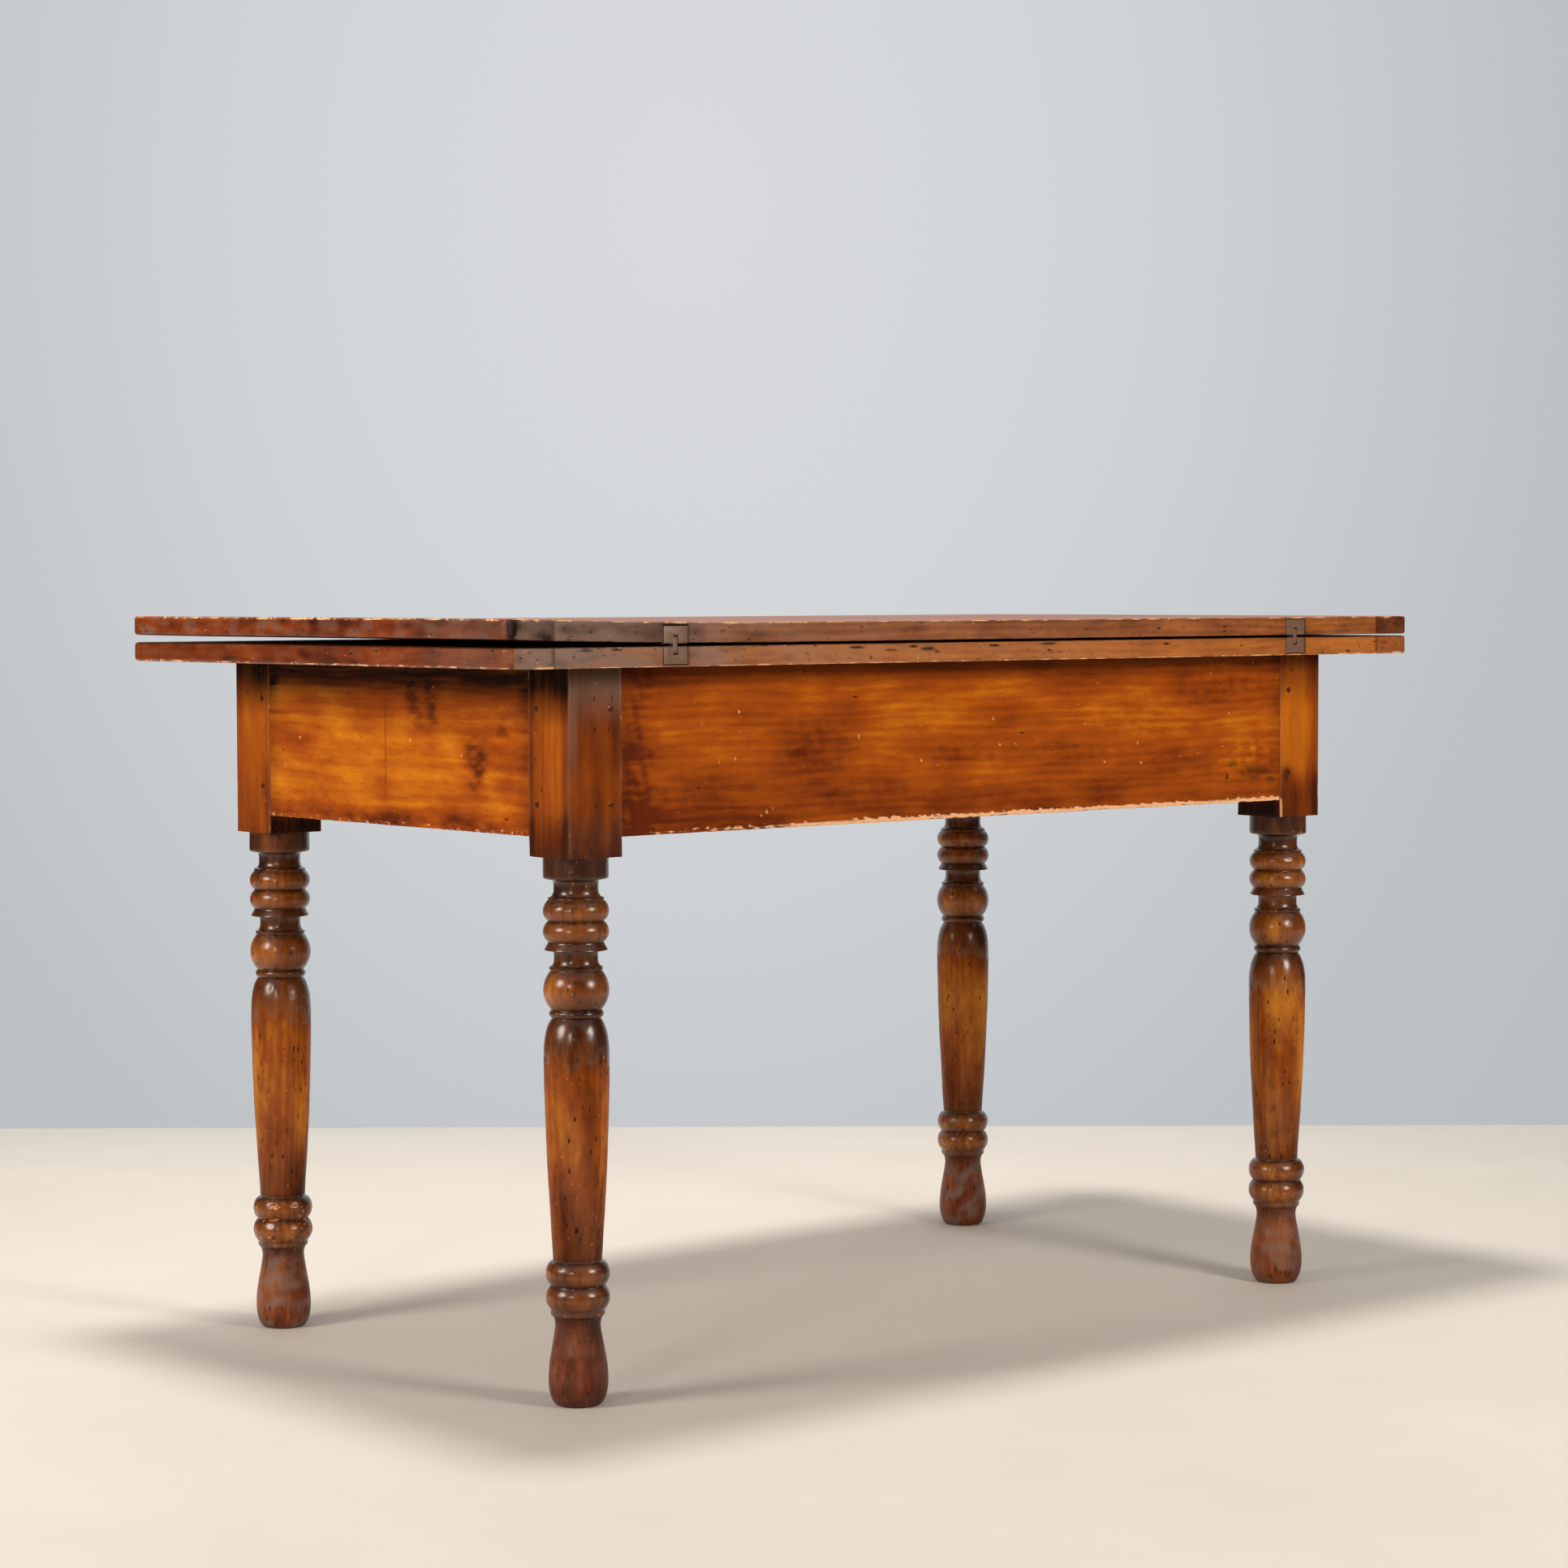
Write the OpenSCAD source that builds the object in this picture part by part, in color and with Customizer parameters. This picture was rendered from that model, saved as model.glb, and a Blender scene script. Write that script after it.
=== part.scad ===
// Swivel-top table with a folding double top.
// The frame stands on four turned legs. The top is two hinged leaves that lie one on
// the other. The pair swivels a quarter turn on a pivot, and then the upper leaf opens
// over the free half of the frame.
// Millimetres. X runs along the long side, the hinged edge is at -Y, Z is up.
// The origin is on the floor, under the middle of the top.

/* [Frame] */
// Height of the posts and aprons above the floor
frame_height = 733; // [700:1:780]
// Length of the frame over the posts
frame_length = 1090; // [1000:1:1200]
// Width of the frame over the posts
frame_width = 602; // [570:1:680]
// Side of the square heads of the legs
post_size = 66; // [60:1:76]
// Depth of the square heads, from the top of the frame down
post_depth = 187.3; // [180:0.1:205]
// Depth of the aprons, from the top of the frame down
apron_depth = 167.5; // [150:0.5:178]
// Thickness of the aprons
apron_thickness = 25; // [20:0.5:30]
// How far the apron faces lie behind the post faces
apron_set_back = 0.8; // [0:0.1:4]

/* [Frame joints] */
// Length of the apron tenons
tenon_length = 40; // [30:1:44]
// Thickness of the apron tenons
tenon_thickness = 9; // [7:0.5:12]
// Shoulder above each apron tenon
tenon_top_shoulder = 18; // [10:1:24]
// Shoulder below each apron tenon
tenon_bottom_shoulder = 12; // [8:1:20]
// Diameter of the pegs that lock the tenons
peg_diameter = 7; // [5:0.5:9]
// Length of the pegs
peg_length = 36; // [28:1:44]
// How far the peg ends stand out of the post faces
peg_proud = 0.4; // [0.1:0.1:1]
// Distance from the joint line to the pegs
peg_inset = 14; // [10:1:20]
// Height of the lower pegs above the bottom edge of the aprons
low_peg_rise = 31.5; // [22:0.5:50]
// Height of the upper pegs above the bottom edge of the aprons
high_peg_rise = 126.5; // [100:0.5:132]
// Glue line around tenons and pegs
glue_gap = 0.05; // [0.02:0.01:0.2]

/* [Leg turning from the post down] */
// Height of the round collar under the post
collar_height = 21; // [14:0.5:26]
// Height of the sloped underside of the collar
collar_slope = 2.2; // [1:0.1:6]
// Radius of the neck under the collar
neck_radius = 22.3; // [18:0.1:26]
// Height of the straight neck under the collar
neck_height = 9.5; // [4:0.5:12]
// Height of the hollow between the neck and the rings
neck_hollow = 7.5; // [5:0.1:12]
// Radius of the fillet above the rings
ring_fillet_radius = 27.9; // [26:0.1:31]
// Height of the fillet above the rings
ring_fillet_height = 2.5; // [1.5:0.5:5]
// Number of rings under the neck
ring_count = 2; // [1:1:3]
// Radius of the rings
ring_radius = 32.9; // [31:0.1:38]
// Height of each ring
ring_height = 20.8; // [14:0.1:24]
// Radius of the grooves beside the rings
ring_groove_radius = 27.6; // [26:0.1:30]
// Radius of the sharp skirt under the rings
skirt_radius = 31.5; // [30:0.1:36]
// Height of the skirt
skirt_height = 8; // [4:0.5:9]
// Radius of the throat under the skirt
throat_radius = 22; // [18:0.1:26]
// Height of the straight throat
throat_height = 8.4; // [4:0.1:12]
// Height of the hollow between the throat and the ball
throat_hollow = 8; // [6:0.5:14]
// Radius of the fillet above the ball
ball_fillet_radius = 26.7; // [26:0.1:30]
// Height of the fillet above the ball
ball_fillet_height = 3; // [1.5:0.5:5]
// Radius of the ball
ball_radius = 32.9; // [30:0.1:38]
// Height of the ball
ball_height = 39.7; // [32:0.1:44]
// Radius at the ends of the ball
ball_end_radius = 25; // [22:0.1:26]
// Radius of the bead under the ball
bead_radius = 27.2; // [26:0.1:30]
// Height of the bead under the ball
bead_height = 7.8; // [4:0.1:10]
// Radius of the shaft at its shoulder
shoulder_radius = 32.6; // [30:0.1:38]
// Height of the rounded shoulder of the shaft
shoulder_height = 34.5; // [25:0.5:50]
// Radius of the groove at the top of the shaft
shaft_top_radius = 23.8; // [21:0.1:25]
// Radius of the shaft where it meets the ankle rings
shaft_ankle_radius = 24.2; // [20:0.1:26]
// Number of ankle rings
ankle_ring_count = 2; // [1:1:3]
// Radius of the ankle rings
ankle_ring_radius = 32.2; // [30:0.1:36]
// Height of each ankle ring
ankle_ring_height = 24; // [16:0.5:26]
// Radius of the grooves beside the ankle rings
ankle_groove_radius = 27; // [25:0.1:29]
// Height of the fillet under the ankle rings
ankle_fillet_height = 5.5; // [2:0.5:8]
// Height of the hollow between the ankle rings and the foot
ankle_hollow = 11; // [8:0.5:18]
// Radius at the narrowest place above the foot
foot_neck_radius = 22.5; // [19:0.1:26]
// Height of the foot
foot_height = 79; // [65:0.5:90]
// Radius of the foot at its swell
foot_radius = 29.8; // [27:0.1:34]
// Height of the swell above the floor
foot_swell = 25; // [20:0.5:36]
// Radius of the flat that stands on the floor
foot_pad_radius = 20.5; // [16:0.1:25]

/* [Top] */
// Length of both leaves
leaf_length = 1300; // [1200:1:1400]
// Width of the folded top
leaf_width = 700; // [660:1:740]
// Thickness of each leaf
leaf_thickness = 20.3; // [19:0.1:26]
// Running gap between the frame and the lower leaf
swivel_gap = 0.4; // [0.2:0.1:1]
// Gap between the closed leaves
leaf_gap = 2.4; // [2.2:0.1:4]
// Radius of the corners of the leaves in plan
corner_radius = 18; // [8:1:30]
// Ease of the arrises where the two leaves meet
meeting_ease = 2.4; // [2:0.1:4]
// Width of the left end boards
left_end_width = 51; // [40:1:80]
// Width of the right end boards
right_end_width = 62; // [40:1:80]
// Length of the tongues that enter the end boards
tongue_length = 15; // [10:1:24]
// Thickness of the tongues
tongue_thickness = 7; // [5:0.5:9]
// Distance from the long edges to the ends of the tongues
tongue_stop = 24; // [15:1:40]
// Gap around the tongues
tongue_gap = 0.15; // [0.05:0.05:0.4]
// Rise of the warped left end of the upper leaf
warp_rise = 5.6; // [1:0.1:8]
// Distance from the middle of the upper leaf to where its warp starts
warp_start = 305; // [302:1:400]

/* [Link hinges] */
// Distance between the two hinges
hinge_spacing = 900; // [700:10:1040]
// Width of the hinge plates
plate_width = 30; // [24:1:40]
// Height of the hinge plates on the edge of the leaf
plate_height = 17.5; // [13:0.5:18.5]
// Depth of the solid part of the plates behind the edge
knuckle_depth = 11; // [10.5:0.5:16]
// Length of the flange that is let into the face of the leaf
flange_length = 45; // [40:1:60]
// Thickness of the flange
flange_thickness = 2.5; // [1.6:0.1:4]
// Distance from the hinge pins to the edge and to the face of the leaf
pin_inset = 4.4; // [4.2:0.1:4.6]
// Diameter of the hinge pins
pin_diameter = 3.2; // [2.4:0.1:4]
// Length of the hinge pins
pin_length = 26; // [20:1:29]
// Width of the links, along the pins
link_width = 5.6; // [4:0.1:8]
// Radius of the link eyes
link_eye_radius = 3.7; // [3:0.1:3.8]
// Gap at each side of a link in its slot
link_side_gap = 0.2; // [0.1:0.1:0.5]
// Gap behind and under a link in its slot
link_slot_gap = 0.5; // [0.3:0.1:1]
// Running gap around the pins in the link eyes
pin_running_gap = 0.05; // [0.03:0.01:0.09]
// Gap around a plate in its recess
recess_gap = 0.15; // [0.05:0.05:0.4]

/* [Screws and nails] */
// Radius of the wood screw shanks
screw_radius = 1.8; // [1.4:0.1:2.4]
// Radius of the wood screw heads
screw_head_radius = 3.7; // [3:0.1:4.5]
// Height of the countersunk heads
screw_head_height = 2.1; // [1.5:0.1:2.3]
// Length of the hinge and pivot plate screws
plate_screw_length = 14; // [9:1:15]
// Gap around screws and nails
screw_gap = 0.05; // [0.02:0.01:0.2]
// Radius of the nail shanks
nail_radius = 1.1; // [0.8:0.1:1.6]
// Radius of the nail heads
nail_head_radius = 2.6; // [2:0.1:3.5]
// Thickness of the nail heads
nail_head_height = 0.9; // [0.6:0.1:1.5]

/* [Pivot] */
// Distance from the pivot to the left face of the pivot rail
rail_lead = 40; // [25:1:60]
// Distance from the pivot to the right face of the pivot rail
rail_trail = 70; // [50:1:75]
// Thickness of the pivot rail
rail_thickness = 30; // [24:1:40]
// Length of the stub tenons of the pivot rail
rail_tenon_length = 12; // [8:1:16]
// Shoulder all round the stub tenons
rail_tenon_shoulder = 7.5; // [5:0.5:10]
// Diameter of the pivot stud
stud_diameter = 16; // [12:1:20]
// Running gap around the stud in the rail
stud_running_gap = 0.08; // [0.04:0.01:0.1]
// Width and length of the pivot plate
pivot_plate_size = 80; // [64:1:100]
// Thickness of the pivot plate
pivot_plate_thickness = 5; // [4:0.5:6]
// Distance from the sides of the pivot plate to its screws
pivot_screw_inset = 12; // [9:1:16]
// How far the riveted head of the stud spreads
rivet_spread = 2; // [1:0.5:3]
// Outside diameter of the pivot washer
washer_diameter = 36; // [30:1:50]
// Thickness of the pivot washer
washer_thickness = 2.5; // [1.5:0.5:4]
// Gap between the washer and the pivot rail
washer_gap = 0.3; // [0.1:0.1:0.8]
// Side of the square pivot nut
nut_size = 24; // [22:1:34]
// Height of the square pivot nut
nut_height = 12; // [8:1:18]
// Length of the stud that shows under the nut
stud_tail = 5; // [2:1:12]

/* [Stop block] */
// Distance from the pivot to the near end of the stop block
stop_reach = 193; // [170:1:230]
// Length of the stop block
stop_length = 80; // [50:1:100]
// Height of the stop block
stop_height = 30; // [22:1:40]
// Gap between the stop block and what it bears on
stop_gap = 0.3; // [0.1:0.1:0.6]
// Length of the stop block screws
stop_screw_length = 42; // [36:1:44]
// Distance from the ends of the stop block to its screws
stop_screw_inset = 18; // [10:1:22]

/* [Storage well] */
// Side of the square ledger strips
ledger_size = 20; // [15:1:30]
// Height of the ledgers above the bottom edge of the aprons
ledger_rise = 4; // [0:1:20]
// Thickness of the bottom boards
well_board_thickness = 10; // [8:1:14]
// Gap around the bottom boards
well_gap = 0.5; // [0.2:0.1:0.9]
// Number of nails in each ledger
ledger_nail_count = 5; // [3:1:8]
// Length of the ledger nails
ledger_nail_length = 32; // [26:1:38]
// Length of the bottom board nails
board_nail_length = 24; // [16:1:28]
// Distance from the sides of a bottom board to its nails
board_nail_inset = 30; // [15:1:45]

/* [Hidden] */
$fn = 64;

// Long boards in each leaf and bottom boards in the well, one node each
board_count = 3;
well_board_count = 5;
// A cut runs this far past the face that it opens
over = 1;
// Steps along a curve of the turned profile
curve_steps = 6;
ball_steps = 12;
shaft_steps = 10;
warp_steps = 10;
// Degrees of turn in the shaft's shoulder, and in the foot's curve, steepest at 90
shoulder_sweep = 70;
foot_sweep = 140;
// Ledge beside each fillet, and the square edges of the skirt and the collar
fillet_ledge = 0.6;
square_edge = 1;

half_length = frame_length / 2;
half_width = frame_width / 2;
apron_bottom = frame_height - apron_depth;
post_bottom = frame_height - post_depth;
post_x = half_length - post_size / 2;
post_y = half_width - post_size / 2;
apron_inner_x = half_length - apron_set_back - apron_thickness;
apron_inner_y = half_width - apron_set_back - apron_thickness;
tenon_low = apron_bottom + tenon_bottom_shoulder;
tenon_high = frame_height - tenon_top_shoulder;

lower_z = frame_height + swivel_gap;
lower_top = lower_z + leaf_thickness;
upper_z = lower_top + leaf_gap;
edge_y = -leaf_width / 2;
boards_left = -leaf_length / 2 + left_end_width;
boards_right = leaf_length / 2 - right_end_width;
board_width = leaf_width / board_count;
pin_y = edge_y + pin_inset;
lower_pin_z = lower_top - pin_inset;
upper_pin_z = upper_z + pin_inset;
slot_depth = pin_inset + link_eye_radius + link_slot_gap;

// The quarter turn brings the hinged edge over the middle of the frame
pivot_x = -leaf_width / 4;
pivot_y = -leaf_width / 4;
rail_left = pivot_x - rail_lead;
rail_right = pivot_x + rail_trail;
rail_bottom = frame_height - rail_thickness;
stud_radius = stud_diameter / 2;
washer_top = rail_bottom - washer_gap;
nut_top = washer_top - washer_thickness;
nut_bottom = nut_top - nut_height;
plate_top = lower_z + pivot_plate_thickness;

// The stop block bears on the front apron when the top is square to the frame,
// and on the pivot rail after the quarter turn
stop_front = -apron_inner_y + stop_gap;
stop_back = pivot_y - rail_trail - stop_gap;

ledger_bottom = apron_bottom + ledger_rise;
ledger_top = ledger_bottom + ledger_size;
ledger_length = frame_length - 2 * post_size - 2 * well_gap;
well_board_pitch = 2 * apron_inner_x / well_board_count;

// Shared shapes

module box_between(low, high) {
    translate(low) cube(high - low);
}

// A board's section, wide along X of the drawing, with both corners eased at y = 0
module eased_section(width, depth, ease) {
    translate([-width / 2 + ease, 0]) square([width - 2 * ease, ease + depth / 2]);
    translate([-width / 2, ease]) square([width, depth - ease]);
    for (side = [-1, 1]) translate([side * (width / 2 - ease), ease]) circle(ease);
}

// A countersunk wood screw, head face at z = 0 and point down
module wood_screw(length, gap = 0) {
    rotate_extrude() polygon([
        [0, gap], [screw_head_radius + gap, gap],
        [screw_head_radius + gap, 0], [screw_radius + gap, -screw_head_height],
        [screw_radius + gap, -length + screw_radius - gap], [0, -length - gap]
    ]);
}

// A nail, head face at z = 0 and point down
module nail(length, gap = 0) {
    rotate_extrude() polygon([
        [0, gap], [nail_head_radius + gap, gap],
        [nail_head_radius + gap, -nail_head_height - gap],
        [nail_radius + gap, -nail_head_height - gap],
        [nail_radius + gap, -length + 2 * nail_radius - gap], [0, -length - gap]
    ]);
}

// Turned leg

function unique_points(points) = [
    for (i = [0 : len(points) - 1])
        if (i == 0 || norm(points[i] - points[max(i - 1, 0)]) > 0.01) points[i]
];

// An arc of a circle that bulges out from the edge radius
function bulge(z, height, radius, edge, steps) =
    let (
        rise = radius - edge,
        arc = (height * height / 4 + rise * rise) / (2 * rise),
        sweep = asin(height / 2 / arc)
    )
    [for (i = [0 : steps]) let (a = sweep * (2 * i / steps - 1))
        [radius - arc * (1 - cos(a)), z + height / 2 + arc * sin(a)]];

// A quarter hollow that leaves the narrow radius upright and ends flat at the wide one
function hollow_up(z, height, narrow, wide) = [
    for (i = [0 : curve_steps]) let (a = 90 * i / curve_steps)
        [narrow + (wide - narrow) * (1 - cos(a)), z + height * sin(a)]
];

function hollow_down(z, height, wide, narrow) = [
    for (i = [curve_steps : -1 : 0]) let (a = 90 * i / curve_steps)
        [narrow + (wide - narrow) * (1 - cos(a)), z + height * (1 - sin(a))]
];

// Quarter ellipse from the pad up to the swell, then a soft S up to the neck
function foot_points() = concat(
    [[0, 0]],
    [for (i = [0 : curve_steps]) let (a = 90 * i / curve_steps)
        [foot_pad_radius + (foot_radius - foot_pad_radius) * sin(a),
         foot_swell * (1 - cos(a))]],
    [for (i = [1 : curve_steps]) let (t = i / curve_steps)
        [foot_radius - (foot_radius - foot_neck_radius)
            * (1 - cos(foot_sweep * t)) / (1 - cos(foot_sweep)),
         foot_swell + (foot_height - foot_swell) * t]]
);

function rings(z, count, height, radius, groove) = [
    for (k = [0 : count - 1])
        each bulge(z + k * height, height, radius, groove, 2 * curve_steps)
];

// The shaft swells from the ankle as a sine and closes with an arc short of a quarter turn
function shaft_points(low, high) =
    let (rise = high - low - shoulder_height) concat(
        [for (i = [0 : shaft_steps]) let (t = i / shaft_steps)
            [shaft_ankle_radius
                + (shoulder_radius - shaft_ankle_radius) * sin(90 * t),
             low + rise * t]],
        [for (i = [1 : curve_steps]) let (a = shoulder_sweep * i / curve_steps)
            [shoulder_radius - (shoulder_radius - shaft_top_radius)
                * (1 - cos(a)) / (1 - cos(shoulder_sweep)),
             low + rise + shoulder_height * sin(a) / sin(shoulder_sweep)]]
    );

function leg_profile() =
    let (
        fillet_low = foot_height + ankle_hollow,
        ankle_low = fillet_low + ankle_fillet_height,
        shaft_low = ankle_low + ankle_ring_count * ankle_ring_height,
        collar_low = post_bottom - collar_height,
        neck_high = collar_low - collar_slope,
        neck_low = neck_high - neck_height,
        flare_low = neck_low - neck_hollow,
        rings_high = flare_low - ring_fillet_height,
        rings_low = rings_high - ring_count * ring_height,
        skirt_low = rings_low - skirt_height,
        throat_low = skirt_low - throat_height,
        throat_flare_low = throat_low - throat_hollow,
        ball_high = throat_flare_low - ball_fillet_height,
        ball_low = ball_high - ball_height,
        shaft_high = ball_low - bead_height
    )
    unique_points(concat(
        foot_points(),
        hollow_up(foot_height, ankle_hollow, foot_neck_radius, ankle_groove_radius),
        [[ankle_groove_radius, ankle_low]],
        rings(ankle_low, ankle_ring_count, ankle_ring_height,
            ankle_ring_radius, ankle_groove_radius),
        shaft_points(shaft_low, shaft_high),
        bulge(shaft_high, bead_height, bead_radius, ball_end_radius, curve_steps),
        bulge(ball_low, ball_height, ball_radius, ball_end_radius, ball_steps),
        [[ball_fillet_radius, ball_high], [ball_fillet_radius, throat_flare_low]],
        hollow_down(throat_flare_low, throat_hollow,
            ball_fillet_radius - fillet_ledge, throat_radius),
        [[throat_radius, skirt_low], [skirt_radius, skirt_low],
         [skirt_radius, skirt_low + square_edge]],
        rings(rings_low, ring_count, ring_height, ring_radius, ring_groove_radius),
        [[ring_fillet_radius, rings_high], [ring_fillet_radius, flare_low]],
        hollow_down(flare_low, neck_hollow, ring_fillet_radius - fillet_ledge,
            neck_radius),
        [[neck_radius, neck_high], [post_size / 2 - square_edge, collar_low],
         [post_size / 2, collar_low], [post_size / 2, post_bottom + over],
         [0, post_bottom + over]]
    ));

// Copies a piece drawn in the +X +Y quarter to the quarter with the given signs
module quarter(x_sign, y_sign) {
    mirror([x_sign < 0 ? 1 : 0, 0, 0]) mirror([0, y_sign < 0 ? 1 : 0, 0]) children();
}

// Tenon of the long apron, grown by a gap, in the +X +Y quarter
module long_tenon(gap = 0) {
    y_mid = half_width - apron_set_back - apron_thickness / 2;
    box_between(
        [half_length - post_size - over, y_mid - tenon_thickness / 2 - gap,
            tenon_low - gap],
        [half_length - post_size + tenon_length + gap,
            y_mid + tenon_thickness / 2 + gap, tenon_high + gap]);
}

// Tenon of the end apron, grown by a gap, in the +X +Y quarter
module end_tenon(gap = 0) {
    x_mid = half_length - apron_set_back - apron_thickness / 2;
    box_between(
        [x_mid - tenon_thickness / 2 - gap, half_width - post_size - over,
            tenon_low - gap],
        [x_mid + tenon_thickness / 2 + gap,
            half_width - post_size + tenon_length + gap, tenon_high + gap]);
}

// The four pegs of one corner, grown by a gap, in the +X +Y quarter
module corner_pegs(gap = 0) {
    for (rise = [low_peg_rise, high_peg_rise]) {
        translate([half_length - post_size + peg_inset, half_width + peg_proud,
                apron_bottom + rise])
            rotate([90, 0, 0])
                cylinder(h = peg_length + peg_proud + gap, r = peg_diameter / 2 + gap);
        translate([half_length + peg_proud, half_width - post_size + peg_inset,
                apron_bottom + rise])
            rotate([0, -90, 0])
                cylinder(h = peg_length + peg_proud + gap, r = peg_diameter / 2 + gap);
    }
}

module leg(x_sign, y_sign) {
    color("#7a4120") quarter(x_sign, y_sign) difference() {
        union() {
            box_between(
                [half_length - post_size, half_width - post_size, post_bottom],
                [half_length, half_width, frame_height]);
            translate([post_x, post_y, 0]) rotate_extrude() polygon(leg_profile());
        }
        long_tenon(glue_gap);
        end_tenon(glue_gap);
        corner_pegs(glue_gap);
    }
}

module joint_pegs() {
    color("#4a2612") for (x_sign = [-1, 1], y_sign = [-1, 1])
        quarter(x_sign, y_sign) corner_pegs();
}

// Aprons, ledgers and well

module long_apron(y_sign) {
    span = half_length - post_size;
    color("#b0641f") difference() {
        union() {
            mirror([0, y_sign < 0 ? 1 : 0, 0])
                box_between([-span, apron_inner_y, apron_bottom],
                    [span, apron_inner_y + apron_thickness, frame_height]);
            for (x_sign = [-1, 1]) quarter(x_sign, y_sign) long_tenon();
        }
        for (x_sign = [-1, 1]) quarter(x_sign, y_sign) corner_pegs(glue_gap);
        rail_tenons(glue_gap);
        for (i = [0 : ledger_nail_count - 1])
            mirror([0, y_sign < 0 ? 1 : 0, 0]) place_ledger_nail(i)
                nail(ledger_nail_length, screw_gap);
    }
}

module end_apron(x_sign) {
    span = half_width - post_size;
    color("#b0641f") difference() {
        union() {
            mirror([x_sign < 0 ? 1 : 0, 0, 0])
                box_between([apron_inner_x, -span, apron_bottom],
                    [apron_inner_x + apron_thickness, span, frame_height]);
            for (y_sign = [-1, 1]) quarter(x_sign, y_sign) end_tenon();
        }
        for (y_sign = [-1, 1]) quarter(x_sign, y_sign) corner_pegs(glue_gap);
    }
}

module rail_tenons(gap = 0) {
    for (y_sign = [-1, 1]) mirror([0, y_sign < 0 ? 1 : 0, 0])
        box_between(
            [rail_left + rail_tenon_shoulder - gap, apron_inner_y - over,
                rail_bottom + rail_tenon_shoulder - gap],
            [rail_right - rail_tenon_shoulder + gap,
                apron_inner_y + rail_tenon_length + gap,
                frame_height - rail_tenon_shoulder + gap]);
}

module pivot_rail() {
    color("#c79a62") difference() {
        union() {
            box_between([rail_left, -apron_inner_y, rail_bottom],
                [rail_right, apron_inner_y, frame_height]);
            rail_tenons();
        }
        translate([pivot_x, pivot_y, rail_bottom - over])
            cylinder(h = rail_thickness + 2 * over, r = stud_radius + stud_running_gap);
    }
}

// Ledger nail number i, driven from inside through the ledger into the back apron
module place_ledger_nail(i) {
    step = ledger_length / ledger_nail_count;
    translate([-ledger_length / 2 + (i + 0.5) * step, apron_inner_y - ledger_size,
            ledger_bottom + ledger_size / 2])
        rotate([90, 0, 0]) children();
}

module ledger(y_sign) {
    color("#c79a62") mirror([0, y_sign < 0 ? 1 : 0, 0]) difference() {
        box_between([-ledger_length / 2, apron_inner_y - ledger_size, ledger_bottom],
            [ledger_length / 2, apron_inner_y, ledger_top]);
        for (i = [0 : ledger_nail_count - 1])
            place_ledger_nail(i) nail(ledger_nail_length, screw_gap);
        for (k = [0 : well_board_count - 1], side = [-1, 1])
            place_board_nail(k, side) nail(board_nail_length, screw_gap);
    }
}

module ledger_nails() {
    color("#3c3633") for (y_sign = [-1, 1], i = [0 : ledger_nail_count - 1])
        mirror([0, y_sign < 0 ? 1 : 0, 0]) place_ledger_nail(i) nail(ledger_nail_length);
}

// Nail at one side of bottom board k, over the back ledger
module place_board_nail(k, side) {
    translate([(k - (well_board_count - 1) / 2) * well_board_pitch
                + side * (well_board_pitch / 2 - board_nail_inset - clear_of_post(k, side)),
            apron_inner_y - ledger_size * 0.7, ledger_top + well_board_thickness])
        children();
}

// The outer nails of the first and last boards step in, to land on the ledger
function clear_of_post(k, side) =
    (k == 0 && side < 0) || (k == well_board_count - 1 && side > 0)
        ? post_size - apron_thickness - apron_set_back : 0;

module well_board(number) {
    k = number - 1;
    left = -apron_inner_x + k * well_board_pitch + well_gap;
    color("#cfa873") difference() {
        box_between([left, -apron_inner_y + well_gap, ledger_top],
            [left + well_board_pitch - 2 * well_gap, apron_inner_y - well_gap,
                ledger_top + well_board_thickness]);
        for (x_sign = [-1, 1], y_sign = [-1, 1]) quarter(x_sign, y_sign)
            box_between(
                [half_length - post_size - well_gap, half_width - post_size - well_gap,
                    apron_bottom],
                [half_length, half_width, frame_height]);
        for (y_sign = [-1, 1], side = [-1, 1]) mirror([0, y_sign < 0 ? 1 : 0, 0])
            place_board_nail(k, side) nail(board_nail_length, screw_gap);
    }
}

module well_board_nails() {
    color("#3c3633")
        for (y_sign = [-1, 1], k = [0 : well_board_count - 1], side = [-1, 1])
            mirror([0, y_sign < 0 ? 1 : 0, 0]) place_board_nail(k, side)
                nail(board_nail_length);
}

// Leaves

// Rise of the warped leaf at x, a parabola that starts left of the middle
function warp_at(x, rise) =
    rise * pow(max(0, -warp_start - x) / (leaf_length / 2 - warp_start), 2);

// Places along the leaf where its long profile bends
function warp_stations() = concat(
    [for (i = [0 : warp_steps])
        -leaf_length / 2 - over
            + i * (leaf_length / 2 + over - warp_start) / warp_steps],
    [leaf_length / 2 + over]
);

// A layer through the whole leaf between two depths, with the leaf's warp
module leaf_layer(low, high, rise) {
    stations = warp_stations();
    rotate([90, 0, 0]) linear_extrude(leaf_width + 2 * over, center = true) polygon(concat(
        [for (x = stations) [x, low + warp_at(x, rise)]],
        [for (i = [len(stations) - 1 : -1 : 0])
            [stations[i], high + warp_at(stations[i], rise)]]
    ));
}

// Plan of a leaf with its rounded corners
module leaf_plan() {
    inner_length = leaf_length / 2 - corner_radius;
    inner_width = leaf_width / 2 - corner_radius;
    square([2 * inner_length, leaf_width], center = true);
    square([leaf_length, 2 * inner_width], center = true);
    for (x_sign = [-1, 1], y_sign = [-1, 1])
        translate([x_sign * inner_length, y_sign * inner_width]) circle(corner_radius);
}

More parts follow.
